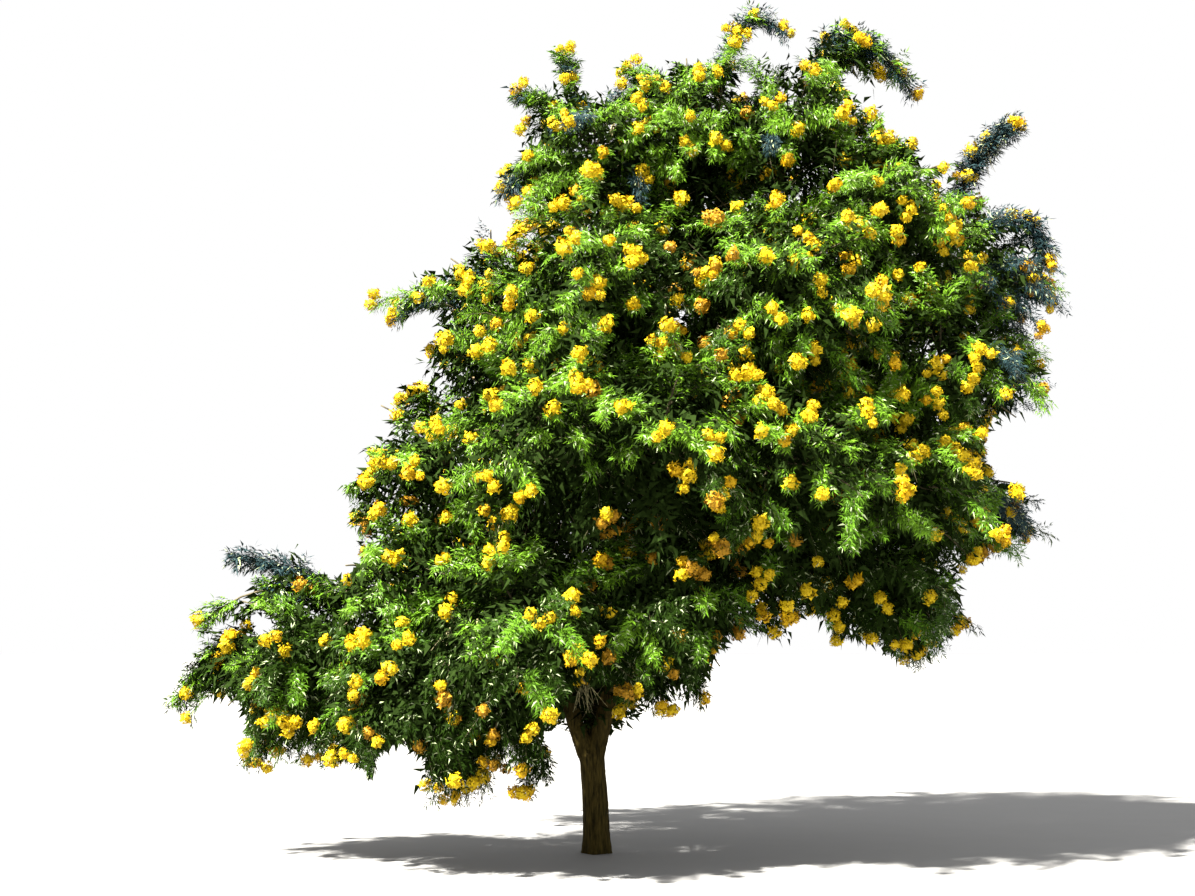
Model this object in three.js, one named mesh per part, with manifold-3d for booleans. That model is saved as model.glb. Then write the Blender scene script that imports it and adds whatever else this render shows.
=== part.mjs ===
// Yellow trumpet bush grown as a small tree: one short trunk that forks into three stems,
// a bough to each mass of foliage, and masses of twigs, leaf sprays and flower clusters.
// Millimetres, +Z up. The origin is the middle of the flat cut at ground level, and the
// tree's broad side faces -Y.
import * as THREE from "three";
import { mergeVertices } from "three/addons/utils/BufferGeometryUtils.js";
import Module from "manifold-3d";

const wasm = await Module();
wasm.setup();

// Driving dimensions of the wood
const TRUNK_HEIGHT = 800;
const TRUNK_LEAN = -46;
const TRUNK_FOOT_RADIUS = 96;
const TRUNK_TOP_RADIUS = 92;
const ROOT_FLARE = 11;
const ROOT_FLARE_HEIGHT = 110;
const STEM_TIP_RADIUS = 24;
const BOUGH_BASE_SHARE = 0.7; // of the stem's radius where the bough leaves it
const BOUGH_BASE_MOST = 42;
const BOUGH_TIP_RADIUS = 14;
const BOUGH_LIFT = 0.14; // how far a bough's middle rises, as a share of its span
const BOUGH_ENTRY = 0.55; // where a bough ends, as a share of its mass's reach
const COLLAR = 0.22; // swelling of a limb's base, as a share of its radius
const COLLAR_LENGTH = 1 / 6; // of the limb
const TRUNK_FACETS = { sides: 14, steps: 6 };
const STEM_FACETS = { sides: 8, steps: 6 };
const BOUGH_FACETS = { sides: 6, steps: 3 };

// Driving dimensions of the foliage
const MASS_STEM_RISE = 0.2; // of the reach, above the heart
const MASS_STEM_POINT = 0.1; // of the reach, from its last ring to its end
const MASS_STEM_BEND = 0.5; // of its span, run straight on from its limb
const MASS_STEM_TIP_RADIUS = 8;
const MASS_STEM_SIDES = 4;
const MASS_STEM_RINGS = 6;
const TWIGS_IN_MASS = 10;
const TWIG_HIGHEST = 0.95; // span of the twigs' ends, as heights on a unit ball
const TWIG_LOWEST = -0.85;
const TWIG_ARCH = 0.2; // how far a twig's middle rises, as a share of its span
const TWIG_REACH = 0.86; // of the mass's reach, which its sprays then fill
const TWIG_BASE_RADIUS = 12;
const TWIG_TIP_RADIUS = 5;
const TWIG_SIDES = 3; // a twig grows out of one face of its stem
const TWIG_FIRST_RING = 0.14;
const TWIG_LAST_RING = 0.82;
const TWIG_RING_SPACING = 185;
const TWIG_FEWEST_RINGS = 4;
const SPRAY_LENGTH = 880;
const SPRAY_TAPER = 0.62; // of that length, lost at the twig's tip
const SPRAY_SLIMNESS = 0.58; // width as a share of length
const SPRAY_DEPTH = 0.28; // height of its ridge as a share of length
const SPRAY_WIDEST = 0.45; // where a spray is widest, as a share of its length
const SPRAY_SPLAY = 0.85; // sideways lean of a spray against its twig's run
const SPRAY_DROOP = 1.05;
const SHORTENINGS = [1, 0.8, 0.6, 0.45]; // tried in turn, for a twig or spray without room
const BLOSSOM_RADIUS = 85;
const BLOSSOM_SHARE = 0.4; // of the twigs, that end in a cluster of flowers

// Clearances
const JOINT_GAP = 0.3;
const SPACE_GAP = 3;
const LIMB_CLEARANCE = 6;
const GROUND_CLEARANCE = 60;
const TOUCH_VOLUME = 1;
const MERGE_WITHIN = 1e-3;

const GOLDEN_ANGLE = Math.PI * (3 - Math.sqrt(5));
const UP = new THREE.Vector3(0, 0, 1);
const SIDEWAYS = new THREE.Vector3(0.6, 0.8, 0);

const BARK = new THREE.MeshStandardMaterial({ color: 0x4b3e29, roughness: 0.95, metalness: 0 });
const FOLIAGE = new THREE.MeshStandardMaterial({ color: 0x557d22, roughness: 0.7, metalness: 0 });

const at = (x, y, z) => new THREE.Vector3(x, y, z);

// The three stems that rise from the fork, each through a bend to the mass at its tip.
const STEMS = [
  { name: "left_stem", foot: at(-78, -6, 720), bend: at(-420, 40, 1640), mass: "left_shoulder", radius: 66 },
  { name: "right_stem", foot: at(-8, -4, 715), bend: at(430, -60, 2650), mass: "top_right", radius: 70 },
  { name: "middle_stem", foot: at(-40, 34, 725), bend: at(-40, 330, 2900), mass: "top_middle", radius: 58 },
];

// Each mass of foliage: the stem that its bough leaves, how far up that stem, the place of
// its heart, its reach, and the tips of the long plumes that stand out of the crown.
const MASSES = [
  { name: "top_left", stem: "middle_stem", fork: 0.72, heart: at(-60, 60, 5300), reach: 590,
    plumes: [at(-600, 60, 5760), at(-270, 80, 6090), at(-700, 0, 5000)] },
  { name: "top_middle", heart: at(730, 150, 5500), reach: 620,
    plumes: [at(260, 100, 5970), at(700, 100, 6060), at(1040, 100, 6330)] },
  { name: "top_right", heart: at(1620, -50, 5580), reach: 630,
    plumes: [
      at(1240, 0, 6390), at(1200, 0, 6020), at(1850, 0, 6290), at(2100, -50, 6220),
      at(2400, -50, 5800),
    ] },
  { name: "right_shoulder", stem: "right_stem", fork: 0.74, heart: at(2150, -450, 4680), reach: 650,
    plumes: [at(2350, -300, 5200), at(2200, -300, 5300)] },
  { name: "right_top", stem: "right_stem", fork: 0.64, heart: at(2950, 350, 4420), reach: 560,
    plumes: [at(3180, 250, 5600), at(2900, 300, 5350), at(3500, 300, 4660), at(3500, 300, 4200)] },
  { name: "left_shoulder", heart: at(-800, -80, 3950), reach: 700,
    plumes: [at(-1440, -120, 4100), at(-800, -150, 4640)] },
  { name: "centre_left", stem: "middle_stem", fork: 0.5, heart: at(0, -1200, 3970), reach: 700 },
  { name: "centre_right", stem: "right_stem", fork: 0.56, heart: at(1330, -1300, 3950), reach: 720 },
  { name: "right_middle", stem: "right_stem", fork: 0.48, heart: at(2560, -400, 3520), reach: 720,
    plumes: [at(3360, 100, 3640)] },
  { name: "left_flank", stem: "left_stem", fork: 0.6, heart: at(-1240, -300, 2760), reach: 720,
    plumes: [at(-1850, -350, 2640), at(-1300, -300, 3360), at(-1640, -400, 2420)] },
  { name: "front_left", stem: "left_stem", fork: 0.5, heart: at(-340, -1600, 2840), reach: 690 },
  { name: "front_middle", stem: "middle_stem", fork: 0.33, heart: at(440, -1800, 2820), reach: 680 },
  { name: "front_right", stem: "right_stem", fork: 0.34, heart: at(1360, -1500, 2720), reach: 720 },
  { name: "right_low", stem: "right_stem", fork: 0.38, heart: at(2160, -850, 2520), reach: 670 },
  { name: "right_edge", stem: "right_stem", fork: 0.42, heart: at(2840, 550, 2640), reach: 540,
    plumes: [at(3340, 600, 2420)] },
  { name: "skirt_tip", stem: "left_stem", fork: 0.3, heart: at(-2240, -400, 1440), reach: 640,
    plumes: [
      at(-2600, -330, 2140), at(-2280, -420, 2100), at(-2740, -430, 1620),
      at(-3040, -420, 1120), at(-2410, -500, 720), at(-1980, -550, 770),
    ] },
  { name: "skirt_middle", stem: "left_stem", fork: 0.36, heart: at(-1540, -650, 1820), reach: 640,
    plumes: [at(-2080, -520, 1960)] },
  { name: "skirt_low", stem: "left_stem", fork: 0.22, heart: at(-1200, -1080, 1160), reach: 600,
    plumes: [at(-960, -1180, 560), at(-1760, -950, 760)] },
  { name: "low_left", stem: "left_stem", fork: 0.27, heart: at(-500, -1480, 1560), reach: 640,
    plumes: [at(-500, -1480, 540), at(-660, -1480, 780)] },
  { name: "low_middle", stem: "middle_stem", fork: 0.16, heart: at(500, -1000, 1760), reach: 600,
    plumes: [at(440, -1080, 1130), at(720, -1000, 1190)] },
  { name: "low_right", stem: "right_stem", fork: 0.24, heart: at(1240, -780, 2200), reach: 590 },
  { name: "hem_right", stem: "right_stem", fork: 0.29, heart: at(2140, -250, 1960), reach: 620,
    plumes: [at(2600, -200, 1640), at(2350, -250, 1510)] },
  { name: "back_top", stem: "middle_stem", fork: 0.8, heart: at(920, 1250, 4950), reach: 800 },
  { name: "back_left", stem: "left_stem", fork: 0.74, heart: at(-480, 1300, 3950), reach: 820 },
  { name: "back_middle", stem: "middle_stem", fork: 0.44, heart: at(800, 1900, 3600), reach: 860 },
  { name: "back_right", stem: "right_stem", fork: 0.52, heart: at(2180, 1500, 3900), reach: 820 },
  { name: "back_low_left", stem: "left_stem", fork: 0.42, heart: at(-860, 1350, 2300), reach: 820 },
  { name: "back_low_right", stem: "right_stem", fork: 0.31, heart: at(1300, 1450, 2560), reach: 800 },
];

// A number from 0 to 1 that is fixed by its two seeds.
function vary(seed, draw) {
  const wave = Math.sin(seed * 12.9898 + draw * 78.233) * 43758.5453;
  return wave - Math.floor(wave);
}

const raised = (from, to, share) =>
  from.clone().lerp(to, 0.5).addScaledVector(UP, share * from.distanceTo(to));

// A cylinder bent along a curve, with its radius given along the way, and an overrun at
// both ends.
function limbGeometry(curve, radiusAt, { sides, steps }, overrun) {
  const geometry = new THREE.CylinderGeometry(1, 1, 1, sides, steps);
  const frames = curve.computeFrenetFrames(steps);
  const position = geometry.attributes.position;
  for (let i = 0; i < position.count; i++) {
    const t = position.getY(i) + 0.5;
    const step = Math.round(t * steps);
    const point = curve.getPointAt(t);
    const end = t === 0 ? -1 : Number(t === 1);
    point.addScaledVector(frames.tangents[step], end * overrun);
    point.addScaledVector(frames.normals[step], position.getX(i) * radiusAt(t));
    point.addScaledVector(frames.binormals[step], -position.getZ(i) * radiusAt(t));
    position.setXYZ(i, point.x, point.y, point.z);
  }
  return geometry;
}

function solidOf(geometry) {
  const bare = geometry.clone().deleteAttribute("normal").deleteAttribute("uv");
  const merged = mergeVertices(bare, MERGE_WITHIN);
  return new wasm.Manifold(new wasm.Mesh({
    numProp: 3,
    vertProperties: merged.attributes.position.array,
    triVerts: new Uint32Array(merged.index.array),
  }));
}

// The largest body of a solid: a sealed hollow or a loose scrap is left behind.
function mainBody(solid) {
  return solid.decompose().reduce((a, b) => (b.volume() > a.volume() ? b : a));
}

function meshOf(name, solid, material) {
  const { vertProperties, triVerts } = solid.getMesh();
  const geometry = new THREE.BufferGeometry();
  geometry.setAttribute("position", new THREE.BufferAttribute(vertProperties, 3));
  geometry.setIndex(new THREE.BufferAttribute(triVerts, 1));
  geometry.computeVertexNormals();
  const mesh = new THREE.Mesh(geometry, material);
  mesh.name = name;
  return mesh;
}

// A limb holds its solid and two fatter ones: its neighbours are cut by the first, and twigs
// and sprays keep out of the second.
function makeLimb(name, curve, radiusAt, facets) {
  const grown = (extra) =>
    solidOf(limbGeometry(curve, (t) => radiusAt(t) + extra, facets, extra));
  return {
    name,
    curve,
    radiusAt,
    solid: grown(0),
    clearance: grown(JOINT_GAP),
    keepOut: grown(LIMB_CLEARANCE),
  };
}

const tapered = (base, tip) => (t) => {
  const swelling = 1 + COLLAR * Math.max(0, 1 - t / COLLAR_LENGTH) ** 2;
  return (base + (tip - base) * t) * swelling;
};

function makeTrunk() {
  const curve = new THREE.QuadraticBezierCurve3(
    at(0, 0, 0),
    at(0, 0, TRUNK_HEIGHT / 2),
    at(TRUNK_LEAN, 0, TRUNK_HEIGHT),
  );
  const radiusAt = (t) =>
    TRUNK_FOOT_RADIUS +
    (TRUNK_TOP_RADIUS - TRUNK_FOOT_RADIUS) * t +
    ROOT_FLARE * Math.exp((-t * TRUNK_HEIGHT) / ROOT_FLARE_HEIGHT);
  return makeLimb("trunk", curve, radiusAt, TRUNK_FACETS);
}

// A limb's run into a mass: it aims at the heart and ends where it enters the leaves.
function runInto(mass, foot, bend) {
  const inwards = bend.clone().sub(mass.heart).normalize();
  const tip = mass.heart.clone().addScaledVector(inwards, BOUGH_ENTRY * mass.reach);
  return new THREE.QuadraticBezierCurve3(foot, bend, tip);
}

function makeStem({ name, foot, bend, mass, radius }) {
  const curve = runInto(massNamed(mass), foot, bend);
  return makeLimb(name, curve, tapered(radius, STEM_TIP_RADIUS), STEM_FACETS);
}

function makeBough(mass, stem) {
  const foot = stem.curve.getPointAt(mass.fork);
  const curve = runInto(mass, foot, raised(foot, mass.heart, BOUGH_LIFT));
  const base = Math.min(BOUGH_BASE_MOST, BOUGH_BASE_SHARE * stem.radiusAt(mass.fork));
  return makeLimb(`${mass.name}_bough`, curve, tapered(base, BOUGH_TIP_RADIUS), BOUGH_FACETS);
}

const massNamed = (name) => MASSES.find((mass) => mass.name === name);

// Each limb is cut clear of the limbs made before it, so that it seats on its parent.
function makeLimbs() {
  const limbs = [];
  const seat = (limb) => {
    const cut = limbs.reduce((solid, other) => solid.subtract(other.clearance), limb.solid);
    limbs.push({ ...limb, solid: mainBody(cut) });
  };
  seat(makeTrunk());
  STEMS.forEach((stem) => seat(makeStem(stem)));
  for (const mass of MASSES.filter(({ stem }) => stem)) {
    seat(makeBough(mass, limbs.find(({ name }) => name === mass.stem)));
  }
  return limbs;
}

const limbOf = (mass, limbs) => {
  const stem = STEMS.find((candidate) => candidate.mass === mass.name);
  const name = stem ? stem.name : `${mass.name}_bough`;
  return limbs.find((limb) => limb.name === name);
};

// How far a point lies on a mass's side of the plane that it shares with a neighbour.
function depthInSpace(mass, other, point) {
  const own = point.distanceToSquared(mass.heart) - mass.reach ** 2;
  const others = point.distanceToSquared(other.heart) - other.reach ** 2;
  return (others - own) / (2 * mass.heart.distanceTo(other.heart));
}

const keepsToSpace = (mass, points) =>
  points.every(
    (point) =>
      point.z > GROUND_CLEARANCE &&
      MASSES.every((other) => other === mass || depthInSpace(mass, other, point) > SPACE_GAP),
  );

// The stem runs on from the limb's tip to a little above the mass's heart.
function massStem(mass, limb) {
  const aim = limb.curve.getTangentAt(1);
  const foot = limb.curve.getPointAt(1).addScaledVector(aim, JOINT_GAP);
  const tip = mass.heart.clone().addScaledVector(UP, MASS_STEM_RISE * mass.reach);
  const bend = foot.clone().addScaledVector(aim, MASS_STEM_BEND * foot.distanceTo(tip));
  return new THREE.QuadraticBezierCurve3(foot, bend, tip);
}

// The twigs' ends: the mass's plumes, then others spread evenly over it, each with its rank
// in height.
function twigEnds({ heart, reach, plumes = [] }, seed) {
  const count = TWIGS_IN_MASS - plumes.length;
  const spread = Array.from({ length: count }, (_, k) => {
    const height = TWIG_HIGHEST + (TWIG_LOWEST - TWIG_HIGHEST) * ((k + 0.5) / count);
    const turn = k * GOLDEN_ANGLE + 2 * Math.PI * vary(seed, 0);
    const breadth = Math.sqrt(1 - height ** 2);
    const out = at(breadth * Math.cos(turn), breadth * Math.sin(turn), height);
    return heart.clone().addScaledVector(out, TWIG_REACH * reach);
  });
  const ends = [...plumes, ...spread];
  return ends.map((end) => ({ end, rank: ends.filter((other) => other.z < end.z).length }));
}

const evenly = (first, last, count) =>
  Array.from({ length: count }, (_, k) => first + (last - first) * (k / (count - 1)));

// Rings of corners around a curve, each turned as little as can be from the one before.
function ringsAlong(curve, places, radiusAt, sides, facing) {
  const across = facing.clone();
  return places.map((t) => {
    const run = curve.getTangentAt(t);
    across.addScaledVector(run, -across.dot(run)).normalize();
    const beside = new THREE.Vector3().crossVectors(run, across);
    return Array.from({ length: sides }, (_, i) => {
      const turn = (2 * Math.PI * i) / sides;
      const out = across.clone().multiplyScalar(Math.cos(turn));
      out.addScaledVector(beside, Math.sin(turn));
      return curve.getPointAt(t).addScaledVector(out, radiusAt(t));
    });
  });
}

// The skin of one solid, which grows outwards from ring to ring. A face lists its corners.
class Skin {
  constructor(ring) {
    this.points = [];
    this.faces = [];
    this.foot = this.addCorners(ring);
    this.close([...this.foot].reverse());
  }

  addCorners(corners) {
    return corners.map((corner) => this.points.push(corner) - 1);
  }

  // Walls from a loop of corners out to a ring that has as many.
  raise(loop, ring) {
    const next = this.addCorners(ring);
    const walls = loop.flatMap((corner, i) => {
      const j = (i + 1) % loop.length;
      return [[corner, loop[j], next[j]], [corner, next[j], next[i]]];
    });
    this.faces.push(...walls);
    return { next, walls };
  }

  // Walls from a loop of corners to one point ahead of it.
  point(loop, tip) {
    const [end] = this.addCorners([tip]);
    const walls = loop.map((corner, i) => [corner, loop[(i + 1) % loop.length], end]);
    this.faces.push(...walls);
    return walls;
  }

  close(loop) {
    for (let i = 2; i < loop.length; i++) this.faces.push([loop[0], loop[i - 1], loop[i]]);
  }

  cornersOf(face) {
    return face.map((corner) => this.points[corner]);
  }

  // The face, of those still whole, that looks most nearly along a direction.
  facing(faces, direction) {
    const lean = (face) =>
      new THREE.Triangle(...this.cornersOf(face)).getNormal(new THREE.Vector3()).dot(direction);
    const whole = faces.filter((face) => this.faces.includes(face));
    return whole.reduce((a, b) => (lean(b) > lean(a) ? b : a));
  }

  open(face) {
    this.faces.splice(this.faces.indexOf(face), 1);
  }

  solid() {
    return new wasm.Manifold(new wasm.Mesh({
      numProp: 3,
      vertProperties: new Float32Array(this.points.flatMap((point) => point.toArray())),
      triVerts: new Uint32Array(this.faces.flat()),
    }));
  }
}

// The turn of a ring of corners that brings it nearest to the corners it grows from.
function nearestTurn(ring, corners) {
  const turns = ring.map((_, k) => [...ring.slice(k), ...ring.slice(0, k)]);
  const far = (turn) => turn.reduce((sum, corner, i) => sum + corner.distanceTo(corners[i]), 0);
  return turns.reduce((a, b) => (far(b) < far(a) ? b : a));
}

// Grows rings and an end point from a loop of corners, and lists the walls of each length.
function growShoot(skin, loop, { rings, tip }) {
  const lengths = [];
  let end = loop;
  for (const ring of rings) {
    const { next, walls } = skin.raise(end, nearestTurn(ring, skin.cornersOf(end)));
    lengths.push(walls);
    end = next;
  }
  lengths.push(skin.point(end, tip));
  return lengths;
}

// The same shoot as a solid of its own, to find what it would touch.
function shootAlone(corners, shoot) {
  const skin = new Skin(corners);
  growShoot(skin, skin.foot, shoot);
  return skin;
}

// A twig arches from the stem to its tip, where it may carry a cluster of flowers.
function makeTwig(stem, place, tip, blooms) {
  const foot = stem.getPointAt(place);
  const curve = new THREE.QuadraticBezierCurve3(foot, raised(foot, tip, TWIG_ARCH), tip);
  const count = Math.max(TWIG_FEWEST_RINGS, Math.round(curve.getLength() / TWIG_RING_SPACING));
  const places = evenly(TWIG_FIRST_RING, TWIG_LAST_RING, count);
  const radiusAt = tapered(TWIG_BASE_RADIUS, TWIG_TIP_RADIUS);
  const rings = ringsAlong(curve, places, radiusAt, TWIG_SIDES, UP);
  const along = curve.getTangentAt(0);
  if (!blooms) return { along, curve, places, rings, tip };
  const run = curve.getTangentAt(1);
  const axis = new THREE.LineCurve3(
    tip.clone().addScaledVector(run, -BLOSSOM_RADIUS / 2),
    tip.clone().addScaledVector(run, BLOSSOM_RADIUS / 2),
  );
  const ball = ringsAlong(axis, [0, 1], () => BLOSSOM_RADIUS, TWIG_SIDES, UP);
  const top = axis.v2.addScaledVector(run, BLOSSOM_RADIUS / 3);
  return { along, curve, places, rings: [...rings, ...ball], tip: top };
}

// A spray of leaves stands for the many leaves on a side shoot: a ridged blade that leans
// out to one side of its twig and droops.
function makeSpray(twig, t, side, share) {
  const run = twig.getTangentAt(t);
  const sideways = new THREE.Vector3().crossVectors(run, UP).normalize().multiplyScalar(side);
  const along = run.addScaledVector(sideways, SPRAY_SPLAY).addScaledVector(UP, -SPRAY_DROOP);
  along.normalize();
  const across = new THREE.Vector3().crossVectors(UP, along).normalize();
  const thick = new THREE.Vector3().crossVectors(along, across);
  const length = share * SPRAY_LENGTH * (1 - SPRAY_TAPER * t);
  const root = twig.getPointAt(t);
  const middle = root.clone().addScaledVector(along, SPRAY_WIDEST * length);
  const ring = [
    middle.clone().addScaledVector(across, (SPRAY_SLIMNESS * length) / 2),
    middle.clone().addScaledVector(thick, SPRAY_DEPTH * length),
    middle.clone().addScaledVector(across, (-SPRAY_SLIMNESS * length) / 2),
  ];
  return { along, rings: [ring], tip: root.clone().addScaledVector(along, length) };
}

function makeMass(mass, seed, limbs) {
  const limb = limbOf(mass, limbs);
  const stem = massStem(mass, limb);
  const stemRadius = tapered(limb.radiusAt(1), MASS_STEM_TIP_RADIUS);
  const places = evenly(0, 1, MASS_STEM_RINGS);
  const [foot, ...rings] = ringsAlong(stem, places, stemRadius, MASS_STEM_SIDES, SIDEWAYS);
  const skin = new Skin(foot);
  const tip = stem.v2.clone().addScaledVector(UP, MASS_STEM_POINT * mass.reach);
  const lengths = growShoot(skin, skin.foot, { rings, tip });

  const taken = [skin.solid()];
  // Grows the first of some shoots that has room, and says which. It may touch its parent.
  const growFirst = (shoots, faces, parent) => {
    const others = [...limbs.map(({ keepOut }) => keepOut), ...taken.filter((one) => one !== parent)];
    const face = skin.facing(faces, shoots[0].along);
    for (const shoot of shoots) {
      const alone = shootAlone(skin.cornersOf(face), shoot);
      const solid = alone.solid();
      const meets = (other) => solid.intersect(other).volume() > TOUCH_VOLUME;
      if (!keepsToSpace(mass, alone.points) || others.some(meets)) continue;
      taken.push(solid);
      skin.open(face);
      return { ...shoot, solid, lengths: growShoot(skin, face, shoot) };
    }
    return null;
  };

  const twigs = twigEnds(mass, seed).map(({ end, rank }) => {
    const blooms = vary(seed, rank + 1) < BLOSSOM_SHARE;
    const length = Math.floor((rank / TWIGS_IN_MASS) * rings.length) + 1;
    const place = (length - 0.5) / rings.length;
    const shoots = SHORTENINGS.map((share) =>
      makeTwig(stem, place, mass.heart.clone().lerp(end, share), blooms));
    return growFirst(shoots, lengths[length], taken[0]);
  });

  for (const twig of twigs.filter(Boolean)) {
    twig.places.forEach((place, k) => {
      const t = (place + (twig.places[k + 1] ?? 1)) / 2;
      const shoots = SHORTENINGS.map((share) => makeSpray(twig.curve, t, k % 2 ? 1 : -1, share));
      growFirst(shoots, twig.lengths[k + 1], twig.solid);
    });
  }
  return skin.solid();
}

const limbs = makeLimbs();
const trumpetBush = new THREE.Group();
trumpetBush.name = "trumpet_bush";
for (const limb of limbs) trumpetBush.add(meshOf(limb.name, limb.solid, BARK));
MASSES.forEach((mass, seed) => {
  trumpetBush.add(meshOf(`${mass.name}_foliage`, makeMass(mass, seed, limbs), FOLIAGE));
});

export default trumpetBush;
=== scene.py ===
import math

import bpy
import numpy as np
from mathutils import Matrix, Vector
from mathutils.kdtree import KDTree


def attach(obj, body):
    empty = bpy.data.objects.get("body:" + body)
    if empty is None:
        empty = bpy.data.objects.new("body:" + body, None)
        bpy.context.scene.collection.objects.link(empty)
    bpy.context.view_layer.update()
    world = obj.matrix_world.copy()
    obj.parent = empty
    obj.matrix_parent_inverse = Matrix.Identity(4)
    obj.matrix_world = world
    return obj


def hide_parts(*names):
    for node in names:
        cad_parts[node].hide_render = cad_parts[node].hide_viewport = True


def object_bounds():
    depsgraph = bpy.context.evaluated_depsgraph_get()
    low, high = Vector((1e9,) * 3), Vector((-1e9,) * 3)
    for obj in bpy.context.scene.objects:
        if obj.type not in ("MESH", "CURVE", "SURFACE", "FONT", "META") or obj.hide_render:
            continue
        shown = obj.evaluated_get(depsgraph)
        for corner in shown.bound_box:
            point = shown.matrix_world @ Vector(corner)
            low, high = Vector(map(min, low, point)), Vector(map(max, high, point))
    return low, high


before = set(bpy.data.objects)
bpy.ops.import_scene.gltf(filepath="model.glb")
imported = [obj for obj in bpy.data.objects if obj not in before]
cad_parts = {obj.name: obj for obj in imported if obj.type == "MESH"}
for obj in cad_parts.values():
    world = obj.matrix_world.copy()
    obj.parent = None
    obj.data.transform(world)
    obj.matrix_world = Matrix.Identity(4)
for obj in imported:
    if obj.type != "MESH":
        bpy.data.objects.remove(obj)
solid_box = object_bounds()

UP = np.array([0.0, 0.0, 1.0])
GOLDEN_ANGLE = math.pi * (3 - math.sqrt(5))
SEED = 41
dice = np.random.default_rng(SEED)

# Steps of a sine that scatter well, for numbers that look random and come out the same every time
SCATTER = np.array([12.9898, 78.233, 37.719])
SCATTER_SCALE = 43758.5453

# Amounts too small to see, which keep a direction from coming to nothing
TINY = 1e-9
SLIGHT = 1e-4
STRAIGHT = 1e-7

# Directions that limbs, tubes and flower heads do not run along, from which turns are measured
LIMB_ASIDE = (0.1, 0.2, 1)
TUBE_ASIDE = (1, 0.3, 0)
HEAD_ASIDE = (0.3, 0.9, 0.1)

# Wood: the trunk, the stems that leave its fork and the boughs that leave the stems

TRUNK_HEIGHT = 0.8
TRUNK_LEAN = -0.046
TRUNK_FOOT_RADIUS = 0.096
TRUNK_TOP_RADIUS = 0.092
ROOT_FLARE = 0.011
ROOT_FLARE_HEIGHT = 0.11
STEM_TIP_RADIUS = 0.024
BOUGH_BASE_SHARE = 0.7
BOUGH_BASE_MOST = 0.042
BOUGH_TIP_RADIUS = 0.014
BOUGH_LIFT = 0.14
BOUGH_ENTRY = 0.55
COLLAR = 0.22
COLLAR_LENGTH = 1 / 6
JOINT_GAP = 0.0003

# name: foot, bend, mass it ends in, radius at the foot
STEMS = {
    "left_stem": ((-0.078, -0.006, 0.72), (-0.42, 0.04, 1.64), "left_shoulder", 0.066),
    "right_stem": ((-0.008, -0.004, 0.715), (0.43, -0.06, 2.65), "top_right", 0.07),
    "middle_stem": ((-0.04, 0.034, 0.725), (-0.04, 0.33, 2.9), "top_middle", 0.058),
}

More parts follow.
